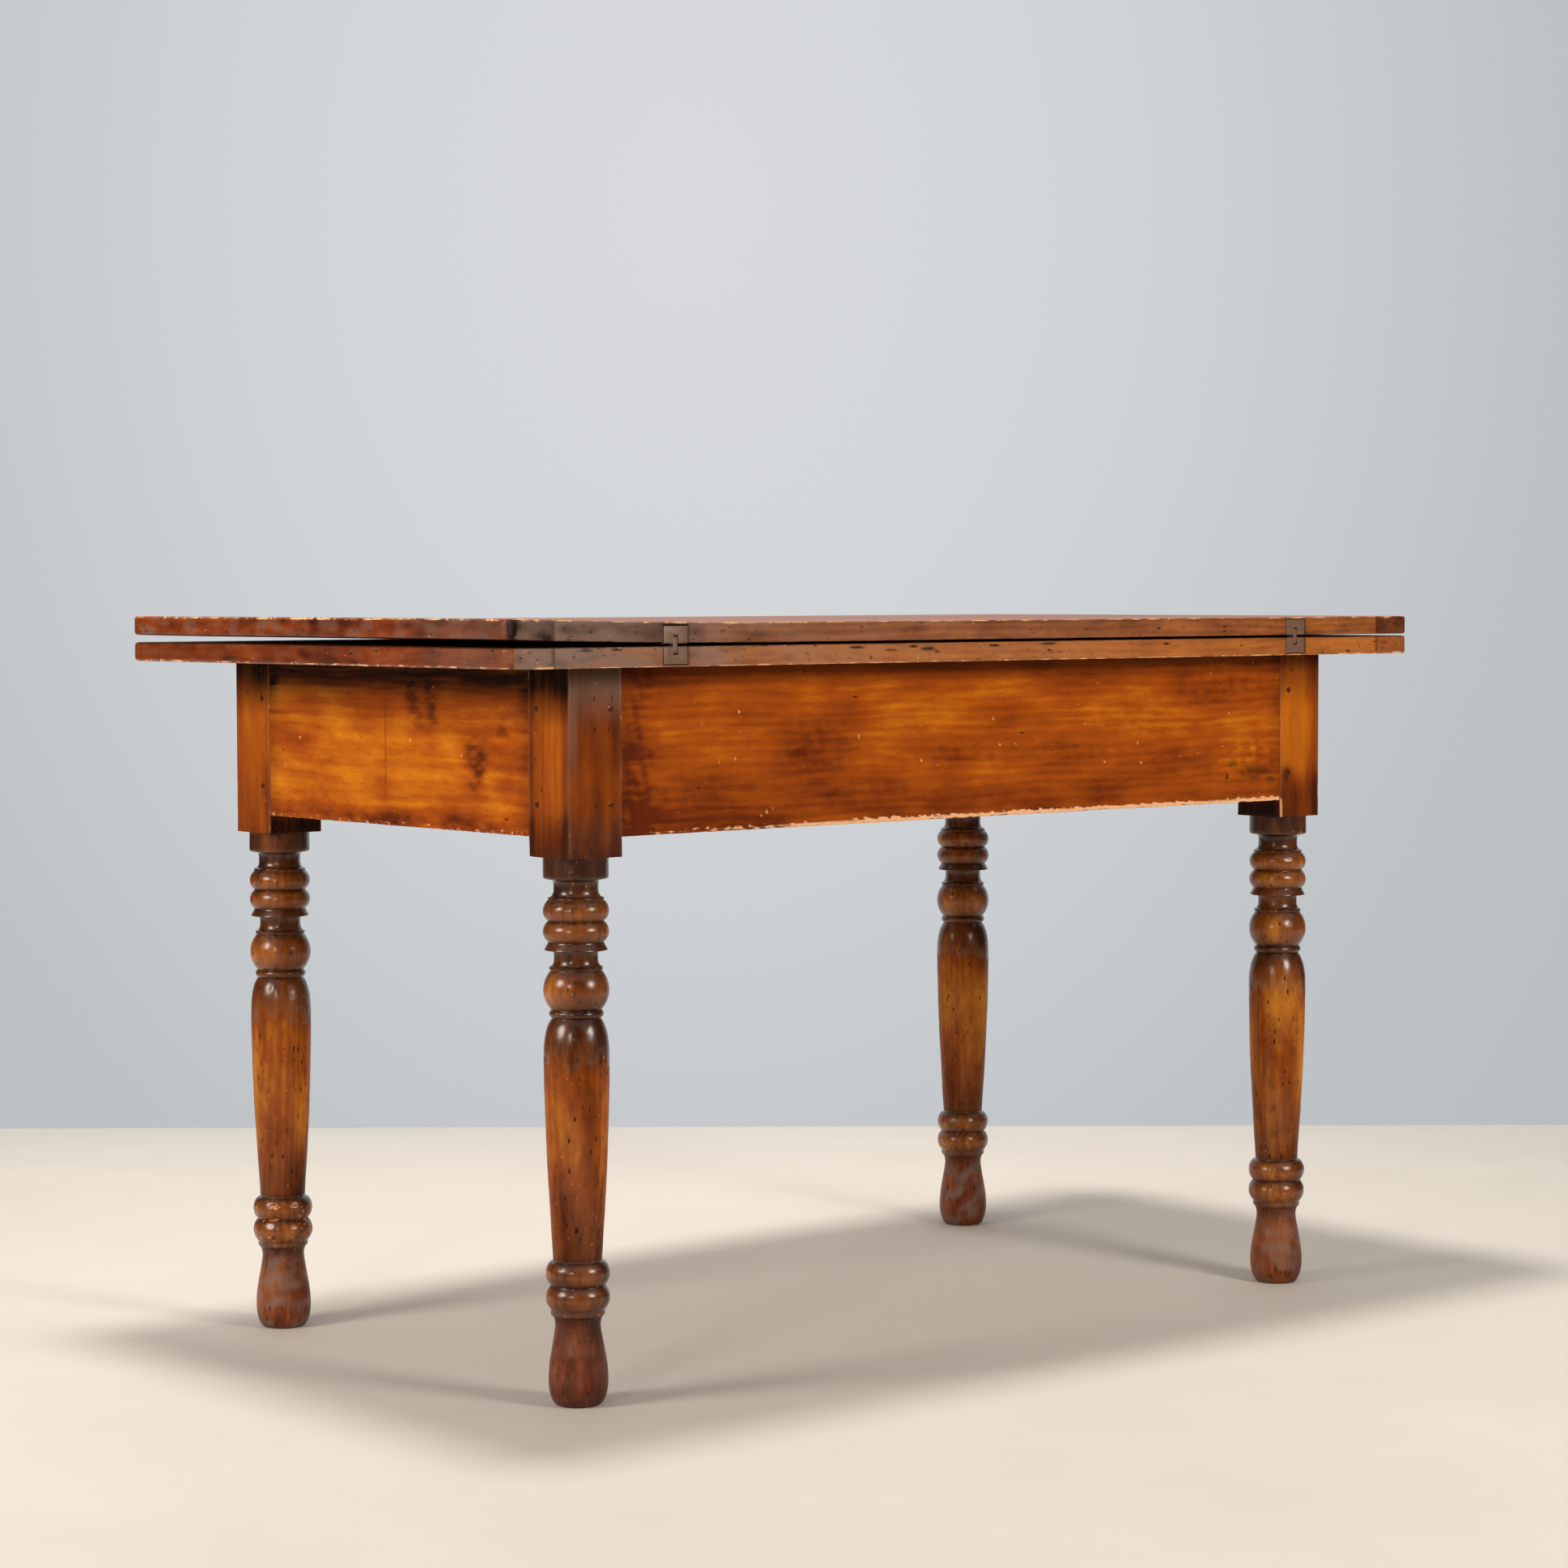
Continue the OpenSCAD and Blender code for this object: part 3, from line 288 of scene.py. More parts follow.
def wood(name, deep, body, glow, raw, worms, flecks, ring=7, streak=3.0, clouds=0.7,
         figure=0.35, roughness=0.42, coat=0.3, gloss=0.3, blotch=45, relief=0.25):
    """Old finished wood. Streaks, soft rings and clouds of thick and thin finish move the colour
    between deep, body and glow, fine pores lie along the grain, and dirt with painted shade, haze
    with painted sheen, worm holes and lost finish come on top, down to the raw wood. worms and
    flecks are the shares of cells that hold a worm hole or a fleck. ring is the spacing of the
    rings, streak the width of the streaks and blotch the size of the clouds, in millimetres.
    clouds, figure and relief are the strengths of the clouds, the grain and the bumps, and gloss
    is the roughness of the coat."""
    finish, tree = new_finish(name)
    grain = add(tree, "Attribute", out="Vector", attribute_name="grain")
    tone = add(tree, "Attribute", out="Fac", attribute_name="tone")
    wear = add(tree, "Attribute", out="Vector", attribute_name="wear")
    # The wear attribute: dirt with painted shade, lost finish, and haze with painted sheen
    dirt_and_shade, bare, haze_and_sheen = add(tree, "SeparateXYZ", {0: wear}, None)

    # Noises: their size along and across the grain in millimetres, scale, detail and
    # roughness. Those after the wander bend with it, sideways over a hand's length
    noises, place = [], grain
    for along, across, scale, detail, uneven in (
            (blotch * 1.5, blotch * 0.6, 1.0, 4.0, 0.5),
            (blotch * 0.4, blotch * 0.13, 1.0, 3.0, 0.5), (*WANDER, 1.0, 2.0, 0.5),
            (streak * 22, streak, 0.5, 5.0, 0.6), (24, 0.8, 1.0, 3.0, 0.6),
            (9, 0.45, 1.0, 1.0, 0.5)):
        shrink = (1 / (along * MM), 1 / (across * MM), 1 / (across * MM))
        squeezed = add(tree, "Mapping", {"Vector": place, "Scale": shrink})
        noise, tint = add(tree, "TexNoise", {"Vector": squeezed, "Scale": scale,
                                             "Detail": detail, "Roughness": uneven}, None)[:2]
        noises.append(noise)
        if (along, across) == WANDER:
            wander = add(tree, "VectorMath", {0: tint, 1: (0.5, 0.5, 0.5)},
                         operation="SUBTRACT")
            place = add(tree, "VectorMath", {0: wander, 1: WANDER_REACH, 2: grain},
                        operation="MULTIPLY_ADD")
    cloud, mottle, _, streaks, fibres, pores = noises
    rings = add(tree, "Mapping", {"Vector": place, "Location": (0.0, 0.02, 0.055),
                                  "Scale": (0.05, 1, 1)})
    rings = add(tree, "TexWave", {"Vector": rings, "Scale": WAVE_SPACING / (ring * MM),
                                  "Distortion": 7.0, "Detail": 3.0, "Detail Scale": 0.5,
                                  "Detail Roughness": 0.55}, "Fac",
                wave_type="RINGS", rings_direction="X")

    # Each pattern moves the tone about its middle: 0 is deep, 0.5 body and 1 glow
    level = 0.5
    for pattern, reach in ((cloud, clouds * 1.4), (mottle, clouds * 0.7), (streaks, figure),
                           (fibres, figure * 0.8), (rings, figure * 0.28)):
        centred = add(tree, "Math", {0: pattern, 1: 0.5}, operation="SUBTRACT")
        level = add(tree, "Math", {0: centred, 1: reach, 2: level},
                    operation="MULTIPLY_ADD")
    level = add(tree, "Math", {0: tone, 1: 0.5, 2: level}, operation="MULTIPLY_ADD")
    colour = add(tree, "ValToRGB", {"Fac": level},
                 stops=((0.0, linear(deep)), (0.5, linear(body)), (1.0, linear(glow))))

    # Pores: short dark strokes, about 0.4 mm by 9 mm
    pores = add(tree, "MapRange", {"Value": pores, "From Min": 0.60, "From Max": 0.74,
                                   "To Max": 0.45})

    # Grey haze of old wax, and painted grey sheen, thicker where the clouds are
    haze_and_sheen_share = add(tree, "MapRange", {"Value": cloud, "From Min": 0.25, "From Max": 0.75,
                                  "To Min": 0.7, "To Max": 1.3})
    haze_and_sheen_share = add(tree, "Math", {0: haze_and_sheen, 1: haze_and_sheen_share}, operation="MULTIPLY", use_clamp=True)

    # Worm holes and dents, about 2 mm by 5 mm, and flecks of lost varnish, about 1 mm: cells
    # along and across the grain in millimetres, size in the cell, and share of the cells
    spots = []
    for along, across, size, share in ((15, 5, 0.24, worms), (10, 6, 0.11, flecks)):
        shrink = (1 / (along * MM), 1 / (across * MM), 1 / (across * MM))
        squeezed = add(tree, "Mapping", {"Vector": grain, "Scale": shrink})
        distance, cell = add(tree, "TexVoronoi", {"Vector": squeezed, "Scale": 1.0}, None)[:2]
        ragged = add(tree, "Math", {0: fibres, 1: 0.5, 2: distance},
                     operation="MULTIPLY_ADD")
        spot = add(tree, "MapRange", {"Value": ragged, "From Min": size + 0.25,
                                      "From Max": size + 0.15})
        pick = add(tree, "SeparateColor", {0: cell})
        pick = add(tree, "Math", {0: pick, 1: share}, operation="LESS_THAN")
        spots.append(add(tree, "Math", {0: spot, 1: pick}, operation="MULTIPLY"))
    holes, lost = spots

    # Dirt and painted shade lie thicker in the streaks, and finish wears off along the fibres
    # first
    dirt_and_shade_share = add(tree, "MapRange", {"Value": streaks, "From Min": 0.3, "From Max": 0.7,
                                    "To Min": 1.15, "To Max": 0.85})
    dirt_and_shade_share = add(tree, "Math", {0: dirt_and_shade, 1: dirt_and_shade_share}, operation="MULTIPLY", use_clamp=True)
    worn = add(tree, "Math", {0: fibres, 1: 0.7, 2: bare}, operation="MULTIPLY_ADD")
    worn = add(tree, "MapRange", {"Value": worn, "From Min": 0.62, "From Max": 1.0})
    worn = add(tree, "Math", {0: worn, 1: lost}, operation="MAXIMUM")

    for share, cover in ((pores, deep), (haze_and_sheen_share, HAZE_AND_SHEEN), (holes, PIT), (dirt_and_shade_share, DIRT_AND_SHADE),
                         (worn, raw)):
        colour = add(tree, "Mix", {0: share, FIRST: colour, SECOND: linear(cover)}, MIXED,
                     data_type="RGBA")
    rough = roughness - 0.1
    for pattern, reach in ((cloud, 0.2), (haze_and_sheen_share, 0.15), (worn, 0.4)):
        rough = add(tree, "Math", {0: pattern, 1: reach, 2: rough},
                    operation="MULTIPLY_ADD", use_clamp=True)
    height = streaks
    for pattern, reach in ((fibres, 0.4), (holes, -1.5), (worn, -0.6)):
        height = add(tree, "Math", {0: pattern, 1: reach, 2: height},
                     operation="MULTIPLY_ADD")
    bump = add(tree, "Bump", {"Height": height, "Strength": relief, "Distance": 0.6 * MM})
    shader = add(tree, "BsdfPrincipled",
                 {"Base Color": colour, "Roughness": rough, "Normal": bump,
                  "Specular IOR Level": 0.12, "Specular Tint": linear("#F2B67A"),
                  "Coat Weight": coat, "Coat Roughness": gloss, "Coat IOR": 1.5})
    add(tree, "OutputMaterial", {"Surface": shader})
    return finish


def iron(name, dark, body, rust, grit, roughness, bright=0.75):
    """Old hand-worked iron: fine pitting, patches of brown rust and a dull skin. grit is
    the size of the pits in millimetres, and bright the share of bare metal."""
    finish, tree = new_finish(name)
    place = add(tree, "TexCoord", out="Object")
    pits = add(tree, "TexNoise", {"Vector": place, "Scale": 1 / (grit * MM), "Detail": 4.0,
                                  "Roughness": 0.65})
    patch = add(tree, "TexNoise", {"Vector": place, "Scale": 0.12 / (grit * MM),
                                   "Detail": 3.0})
    rusted = add(tree, "MapRange", {"Value": patch, "From Min": 0.42, "From Max": 0.66})
    colour = add(tree, "ValToRGB", {"Fac": pits},
                 stops=((0.35, linear(dark)), (0.65, linear(body))))
    colour = add(tree, "Mix", {0: rusted, FIRST: colour, SECOND: linear(rust)}, MIXED,
                 data_type="RGBA")
    metal = add(tree, "Math", {0: rusted, 1: -0.5 * bright, 2: bright},
                operation="MULTIPLY_ADD")
    rough = add(tree, "Math", {0: rusted, 1: 0.3, 2: roughness}, operation="MULTIPLY_ADD")
    bump = add(tree, "Bump", {"Height": pits, "Strength": 0.35, "Distance": 0.3 * MM})
    shader = add(tree, "BsdfPrincipled", {"Base Color": colour, "Metallic": metal,
                                          "Roughness": rough, "Normal": bump})
    add(tree, "OutputMaterial", {"Surface": shader})
    return finish


# Turned walnut, stained and shellacked: glossy red-brown that turns amber where it is rubbed
leg_wood = wood("turned_shellacked_walnut", "#3F1B06", "#88450D", "#C87C18", "#D2803C",
                0.5, 0.6, roughness=0.34, coat=0.85, gloss=0.25)
# The same turning between the rings, where the shellac is scratched, pitted and dull
shaft_wood = wood("scratched_walnut_shafts", "#451A06", "#8E430C", "#C87A16", "#DE8E4C",
                  0.45, 0.85, coat=0.1, gloss=0.34)
# The same walnut planed, on the square heads: a satin skin with fewer worm holes
post_wood = wood("planed_shellacked_walnut", "#461806", "#91430B", "#C26A12", "#D09A62",
                 0.1, 0.08, ring=9, streak=4.0, clouds=0.5, figure=0.3, coat=0.06, blotch=90)
# The same walnut on the feet, worn dull and brown by brooms and shoes
foot_wood = wood("worn_walnut_feet", "#2A0E06", "#743216", "#AA602E", "#D07E3E",
                 0.3, 0.55, clouds=1.0, figure=0.3, gloss=0.32, blotch=40)
# Planed cherry, oiled and shellacked: orange-brown with honey clouds and fine pores
apron_wood = wood("planed_shellacked_cherry", "#5E2005", "#A34B09", "#D9820F", "#E9B184",
                  0.006, 0.05, ring=10, streak=2.2, clouds=0.6, figure=0.34, roughness=0.45,
                  coat=0.08, blotch=80, relief=0.15)
# Walnut boards of the top, varnished: browner, with a bright sheen seen along the face
top_wood = wood("varnished_walnut_boards", "#45200F", "#8E4E26", "#BE6F2C", "#DDAA7C",
                0.04, 0.14, ring=8, streak=4.0, clouds=0.14, figure=0.62, roughness=0.44,
                coat=0.36, gloss=0.36, blotch=200, relief=0.12)
# End boards of the top: the same walnut, redder because its edge takes more stain
end_wood = wood("varnished_walnut_end_boards", "#3E160A", "#86390F", "#AE5C1E", "#E6B284",
                0.07, 0.25, ring=8, streak=3.6, clouds=0.6, figure=0.45, coat=0.33,
                gloss=0.32, blotch=70, relief=0.12)
# Sawn poplar inside the frame: pale, dry and dusty, with no varnish
inner_wood = wood("sawn_dry_poplar", "#8A6438", "#BE9158", "#D6B07A", "#DDBE8E",
                  0.06, 0.03, ring=6, streak=2.5, clouds=0.5, figure=0.5, roughness=0.75,
                  coat=0.0, blotch=120, relief=0.45)
# Riven oak pegs: dark end grain, polished by hands
peg_wood = wood("riven_oak_pegs", "#2A1006", "#4A220E", "#6A3818", "#94602E",
                0.03, 0.03, ring=3, streak=1.5, clouds=0.8, figure=0.5, roughness=0.36,
                coat=0.6, gloss=0.12, blotch=20)
# Wrought iron of the hinges: brown-grey, let in and varnished over with the edge
hinge_iron = iron("wrought_iron_hinges", "#4A3328", "#8C6B55", "#6E4B38", 0.9, 0.45, 0.2)
# Forged iron of the pivot: greyer, greased, with rust at its edges
pivot_iron = iron("forged_iron_pivot", "#2B2521", "#6E655E", "#6B4026", 1.2, 0.40)
# Cut iron screws: dark heads with worn slots
screw_iron = iron("cut_iron_screws", "#2C221D", "#6A5A4E", "#5E3A26", 0.7, 0.38)
# Cut nails: almost black, with a rusty bloom
nail_iron = iron("cut_iron_nails", "#1F1815", "#4A3D35", "#6A3B20", 0.7, 0.55)


# Turned legs

# Sizes of the turning, named as in the CAD source, from the post down
COLLAR_HEIGHT, COLLAR_SLOPE, COLLAR_RADIUS = 21, 2.2, 32.7
NECK_RADIUS, NECK_HEIGHT, NECK_HOLLOW = 22.3, 9.5, 7.5
RING_FILLET_RADIUS, RING_FILLET_HEIGHT = 27.9, 2.5
RING_COUNT, RING_RADIUS, RING_HEIGHT, RING_GROOVE_RADIUS = 2, 32.9, 20.8, 27.6
SKIRT_RADIUS, SKIRT_HEIGHT = 31.5, 8
THROAT_RADIUS, THROAT_HEIGHT, THROAT_HOLLOW = 22, 8.4, 8
BALL_FILLET_RADIUS, BALL_FILLET_HEIGHT, FILLET_LEDGE = 26.7, 3, 0.6
BALL_RADIUS, BALL_HEIGHT, BALL_END_RADIUS = 32.9, 39.7, 25
BEAD_RADIUS, BEAD_HEIGHT = 27.2, 7.8
SHOULDER_RADIUS, SHOULDER_HEIGHT, SHAFT_TOP_RADIUS, SHAFT_ANKLE_RADIUS = 32.6, 34.5, 23.8, 24.2
ANKLE_RING_COUNT, ANKLE_RING_RADIUS, ANKLE_RING_HEIGHT = 2, 32.2, 24
ANKLE_GROOVE_RADIUS, ANKLE_FILLET_HEIGHT, ANKLE_HOLLOW = 27, 5.5, 11
FOOT_NECK_RADIUS, FOOT_HEIGHT, FOOT_RADIUS, FOOT_SWELL, FOOT_PAD_RADIUS = 22.5, 79, 29.8, 25, 20.5
FOOT_SWEEP, SHOULDER_SWEEP = np.radians(140), np.radians(70)
FOOT_TOP = FOOT_HEIGHT + ANKLE_HOLLOW
POST_BOTTOM = 545.7
QUARTER = np.linspace(0, np.pi / 2, 24)
# Heights between which the shellac of the shaft is scratched dull
DULL_LOW, DULL_HIGH = 146, 345
# Heights between which a post comes out of the painted shade below the apron
BELOW_APRON = 563, 567
# The looks below give heights as numbers. From the floor up, the foot reaches to 90, the
# ankle rings from 95 to 144, the shaft to 386, the bead to 394, the ball to 434, the throat
# and skirt to 461, the rings to 503, the neck to 523 and the collar to 546


def bulge(low, height, radius, edge):
    """Arc of a circle that stands out from the edge radius to the full radius."""
    rise = radius - edge
    arc = (height ** 2 / 4 + rise ** 2) / (2 * rise)
    turn = np.arcsin(height / 2 / arc) * np.linspace(-1, 1, 48)
    return np.stack([radius - arc * (1 - np.cos(turn)),
                     low + height / 2 + arc * np.sin(turn)], 1)


def hollow(low, height, narrow, wide, upwards):
    """Quarter ellipse that leaves the narrow radius upright and ends flat at the wide one,
    which is at the top if it goes upwards and at the bottom if not."""
    radius = narrow + (wide - narrow) * (1 - np.cos(QUARTER))
    rise = height * np.sin(QUARTER)
    if upwards:
        return np.stack([radius, low + rise], 1)
    return np.stack([radius, low + height - rise], 1)[::-1]


def leg_profile():
    """Radius and height up the turned leg: quarter ellipse and soft S for the foot, arcs of
    circles for rings, ball and bead, quarter hollows between them, and a shaft that swells
    as a sine and closes with an arc."""
    ankle_low = FOOT_TOP + ANKLE_FILLET_HEIGHT
    shaft_low = ankle_low + ANKLE_RING_COUNT * ANKLE_RING_HEIGHT
    (collar_low, neck_high, flare_low, rings_high, rings_low, skirt_low, _,
     throat_flare_low, ball_high, ball_low, shaft_high) = POST_BOTTOM - np.cumsum([
         COLLAR_HEIGHT, COLLAR_SLOPE, NECK_HEIGHT + NECK_HOLLOW, RING_FILLET_HEIGHT,
         RING_COUNT * RING_HEIGHT, SKIRT_HEIGHT, THROAT_HEIGHT, THROAT_HOLLOW,
         BALL_FILLET_HEIGHT, BALL_HEIGHT, BEAD_HEIGHT])
    shaft_rise = shaft_high - shaft_low - SHOULDER_HEIGHT
    share = np.linspace(0, 1, 60)
    foot = np.stack([FOOT_PAD_RADIUS + (FOOT_RADIUS - FOOT_PAD_RADIUS) * np.sin(QUARTER),
                     FOOT_SWELL * (1 - np.cos(QUARTER))], 1)
    calf = np.stack([FOOT_RADIUS - (FOOT_RADIUS - FOOT_NECK_RADIUS)
                     * (1 - np.cos(FOOT_SWEEP * share)) / (1 - np.cos(FOOT_SWEEP)),
                     FOOT_SWELL + (FOOT_HEIGHT - FOOT_SWELL) * share], 1)
    shaft = np.stack([SHAFT_ANKLE_RADIUS + (SHOULDER_RADIUS - SHAFT_ANKLE_RADIUS)
                      * np.sin(np.pi / 2 * share), shaft_low + shaft_rise * share], 1)
    bend = SHOULDER_SWEEP * share
    shoulder = np.stack([SHOULDER_RADIUS - (SHOULDER_RADIUS - SHAFT_TOP_RADIUS)
                         * (1 - np.cos(bend)) / (1 - np.cos(SHOULDER_SWEEP)),
                         shaft_low + shaft_rise
                         + SHOULDER_HEIGHT * np.sin(bend) / np.sin(SHOULDER_SWEEP)], 1)
    return np.concatenate([
        foot, calf, hollow(FOOT_HEIGHT, ANKLE_HOLLOW, FOOT_NECK_RADIUS,
                           ANKLE_GROOVE_RADIUS, True),
        *[bulge(ankle_low + k * ANKLE_RING_HEIGHT, ANKLE_RING_HEIGHT, ANKLE_RING_RADIUS,
                ANKLE_GROOVE_RADIUS) for k in range(ANKLE_RING_COUNT)],
        shaft, shoulder, bulge(shaft_high, BEAD_HEIGHT, BEAD_RADIUS, BALL_END_RADIUS),
        bulge(ball_low, BALL_HEIGHT, BALL_RADIUS, BALL_END_RADIUS),
        [(BALL_FILLET_RADIUS, ball_high), (BALL_FILLET_RADIUS, throat_flare_low)],
        hollow(throat_flare_low, THROAT_HOLLOW, THROAT_RADIUS,
               BALL_FILLET_RADIUS - FILLET_LEDGE, False),
        [(THROAT_RADIUS, skirt_low), (SKIRT_RADIUS, skirt_low),
         (SKIRT_RADIUS, skirt_low + 1), (RING_GROOVE_RADIUS, rings_low)],
        *[bulge(rings_low + k * RING_HEIGHT, RING_HEIGHT, RING_RADIUS, RING_GROOVE_RADIUS)
          for k in range(RING_COUNT)],
        [(RING_FILLET_RADIUS, rings_high), (RING_FILLET_RADIUS, flare_low)],
        hollow(flare_low, NECK_HOLLOW, NECK_RADIUS, RING_FILLET_RADIUS - FILLET_LEDGE,
               False),
        [(NECK_RADIUS, neck_high), (COLLAR_RADIUS - 0.7, collar_low),
         (COLLAR_RADIUS, collar_low + 0.8), (COLLAR_RADIUS, POST_BOTTOM)],
    ])


def spaced(profile, count, turn_weight=9.0):
    """The profile again with its points spread evenly over length plus turning, so that
    tight curves get most of them. A turn of one radian counts as turn_weight mm."""
    apart = np.hypot(*np.diff(profile, axis=0).T) > 1e-4
    profile = profile[np.append(True, apart)]
    step = np.diff(profile, axis=0)
    heading = np.unwrap(np.arctan2(step[:, 1], step[:, 0]))
    turn = np.minimum(np.abs(np.diff(heading, prepend=heading[0])), 1.6)
    measure = np.append(0, np.cumsum(np.hypot(*step.T) + turn_weight * turn))
    wanted = np.linspace(0, measure[-1], count)
    return np.stack([np.interp(wanted, measure, profile[:, i]) for i in (0, 1)], 1)


def square_ring(half, radius, side_points=22, corner_points=7):
    """Points round a square with rounded corners, always as many and in the same order."""
    turn = np.linspace(0, np.pi / 2, corner_points)
    share = np.linspace(-1, 1, side_points + 2)[1:-1] * (half - radius)
    arc = np.stack([half - radius + radius * np.cos(turn),
                    half - radius + radius * np.sin(turn)], 1)
    side = np.stack([-share, np.full(side_points, half)], 1)
    part = np.concatenate([arc, side])
    quarters = [part]
    for _ in range(3):
        part = np.stack([-part[:, 1], part[:, 0]], 1)
        quarters.append(part)
    return np.concatenate(quarters)


def turned_leg(name, seed, chipped, lift, dust, post_look):
    """A leg in one skin: the profile carried round the leg's axis, then the square head
    with worn arrises. The turning is out of true by a few tenths of a millimetre, its
    sharp edges are dented, chipped says how far the ankle rings have lost varnish, lift
    makes the turning lighter, dust lies on its foot, and post_look gives the look of
    the square head."""
    low, high = box_of(name)
    centre = (low[:2] + high[:2]) / 2
    half = POST / 2
    ring = square_ring(half, POST_EASE)
    bearing = np.arctan2(ring[:, 1], ring[:, 0])
    profile = spaced(leg_profile(), LEG_POINTS)
    smooth = profile.copy()
    smooth[1:-1] = (profile[:-2] + 2 * profile[1:-1] + profile[2:]) / 4
    radius, height = smooth.T[..., None]
    rows = [np.stack([radius * np.cos(bearing), radius * np.sin(bearing),
                      height + 0 * bearing], -1)]
    # The square head: how far each ring stands in from the faces, and its height
    turn = np.linspace(0, np.pi / 2, 5)
    heads = list(zip(POST_EASE * 0.6 * (1 - np.sin(turn)),
                     POST_BOTTOM + POST_EASE * 0.6 * (1 - np.cos(turn))))
    heads += [(0.0, z) for z in np.linspace(heads[-1][1], FRAME_HEIGHT - 1.0, 32)[1:]]
    heads += [(0.4, FRAME_HEIGHT - 0.3), (1.0, FRAME_HEIGHT)]
    for step_in, z in heads:
        square = square_ring(half - step_in, max(POST_EASE - step_in, 0.3))
        reach = np.hypot(*square.T)
        if z <= POST_BOTTOM:
            square = square * (np.maximum(reach, COLLAR_RADIUS) / reach)[:, None]
        rows.append(np.concatenate([square, np.full((len(square), 1), z)], 1)[None])
    skin = np.concatenate(rows)
    skin[..., :2] += centre
    z = skin[..., 2]
    turned = z < POST_BOTTOM - 0.01
    dent = patches(skin, 9, seed + 5, 1.0, 1.9) * 0.6
    chip = patches(skin, (7, 7, 5), seed + 9, 0.7, 1.3) * chipped * 1.1
    ankle = fade(z, 90, 98) * (1 - fade(z, 138, 143))
    wave = ripple(skin, 60, seed) * 0.16 + ripple(skin, 14, seed + 1) * 0.05
    move = (wave - dent - chip * ankle) * fade(z, 0.5, 6) * turned
    edge = np.abs(np.abs(skin[..., 0] - centre[0]) - np.abs(skin[..., 1] - centre[1]))
    corner = (1 - fade(edge, 2, 7)) * ~turned
    worn = patches(skin, (12, 12, 26), seed + 3, 0.2, 1.6) * 0.4
    move -= corner * worn * fade(FRAME_HEIGHT - z, 0, 8)
    skin = skin + outward(skin) * move[..., None]
    skin[..., :2] = np.clip(skin[..., :2], centre - half, centre + half)
    skin[:2, :, 2] = 0.0

    def marks(points):
        place = points[:, :2] - centre
        z = points[:, 2]
        head = fade(z, POST_BOTTOM - 1, POST_BOTTOM + 1)
        front = np.abs(place[:, 1]) > np.abs(place[:, 0])
        toward = np.where(front, place[:, 0], place[:, 1])
        cloud = ripple(points, (40, 40, 110), seed + 12)
        speckle = patches(points, (9, 9, 22), seed + 13, 0.9, 2.0)
        tone, haze_and_sheen, dark, scar = post_look(front, toward, z, cloud)
        # Painted light and shade: the side towards (0.76, -0.65), on the camera's right, is
        # painted browner and darker, as shade, and so is that side of the collar and the foot;
        # the foot's other side is painted lighter, and both sides of the shaft more golden, as
        # painted light
        sideways = place @ (0.76, -0.65)
        shaft = fade(z, DULL_LOW, 190) * (1 - fade(z + 10 * cloud, 290, 350))
        shaded_side = fade(sideways, 8, 28) * (1 - shaft)
        at_base = 1 - fade(z, 70, 92)
        shaded_foot_side = fade(sideways, 10, 26) * at_base * (1 - dust)
        lit_shaft_sides = fade(np.abs(sideways), 13, 26) * shaft
        turned_tone = (np.interp(z, *TURNED_TONE) + lift - 0.35 * shaded_side
                       + 0.3 * at_base * (fade(-sideways, 6, 24) + dust - 0.15)
                       + 0.40 * lit_shaft_sides - 0.15 * shaft + 0.22 * cloud)
        tone = head * tone + (1 - head) * turned_tone
        collar = (1 - head) * fade(z, 523, 525) * fade(sideways, -10, 10)
        dirt_and_shade = np.interp(z, *TURNED_DIRT_AND_SHADE) + 0.3 * speckle * (1 - head)
        # Painted shade: the dark below the apron on the head, and the shaded side of the collar
        # and of the foot
        dirt_and_shade += dark * head + 0.15 * collar + 0.4 * shaded_foot_side
        # Dirt with painted shade under the overhang of the top
        dirt_and_shade += head * np.where(front, np.interp(z, HEAD_BAND, HEAD_FRONT_DIRT_AND_SHADE),
                                 np.interp(z, HEAD_BAND, HEAD_SIDE_DIRT_AND_SHADE)) * (1 + 0.1 * cloud)
        corner = (1 - fade(half * 2 - np.abs(place).sum(1), 1.0, 3.0)) * head
        rubbed = patches(points, (9, 9, 16), seed + 20, 0.4, 1.4)
        spot = patches(points, (7, 7, 5), seed + 9, 0.6, 1.2)
        at_ankle = fade(z, 94, 100) * (1 - fade(z, 136, 142))
        at_foot = (1 - fade(z, 3, 12)) * patches(points, (8, 8, 5), seed + 21, 0.5, 1.3)
        dull = patches(points, (24, 24, 18), seed + 22, -0.6, 1.4) * at_base
        above_foot = z - FOOT_TOP
        ledge = fade(above_foot, -1, 1) * (1 - fade(above_foot, 3, 5)) * rubbed
        bare = chipped * spot * at_ankle + 0.45 * corner * rubbed + 0.35 * at_foot + 0.4 * ledge
        bare += head * scar * (0.7 + 0.4 * rubbed)
        # Grey haze of dust on the foot, and painted grey sheen on the arrises of the head and
        # down the middle of the turning, between its lit sides
        haze_and_sheen = haze_and_sheen * head + corner * 0.2 + 0.3 * at_foot + dust * dull
        haze_and_sheen += ((1 - head) * np.interp(z, *TURNED_HAZE_AND_SHEEN) * (0.7 + 0.5 * cloud)
                 * (1 - lit_shaft_sides))
        return tone, dirt_and_shade * (1 - corner * 0.4), bare, haze_and_sheen

    def zones(points):
        """Which finish a place has. The gloss ends in a ragged line below the shoulder."""
        z = points[:, 2]
        ragged = 9 * ripple(points, (12, 12, 24), seed + 24) * (np.abs(z - DULL_HIGH) < 30)
        return np.searchsorted((FOOT_TOP, DULL_LOW, DULL_HIGH, POST_BOTTOM), z + ragged)

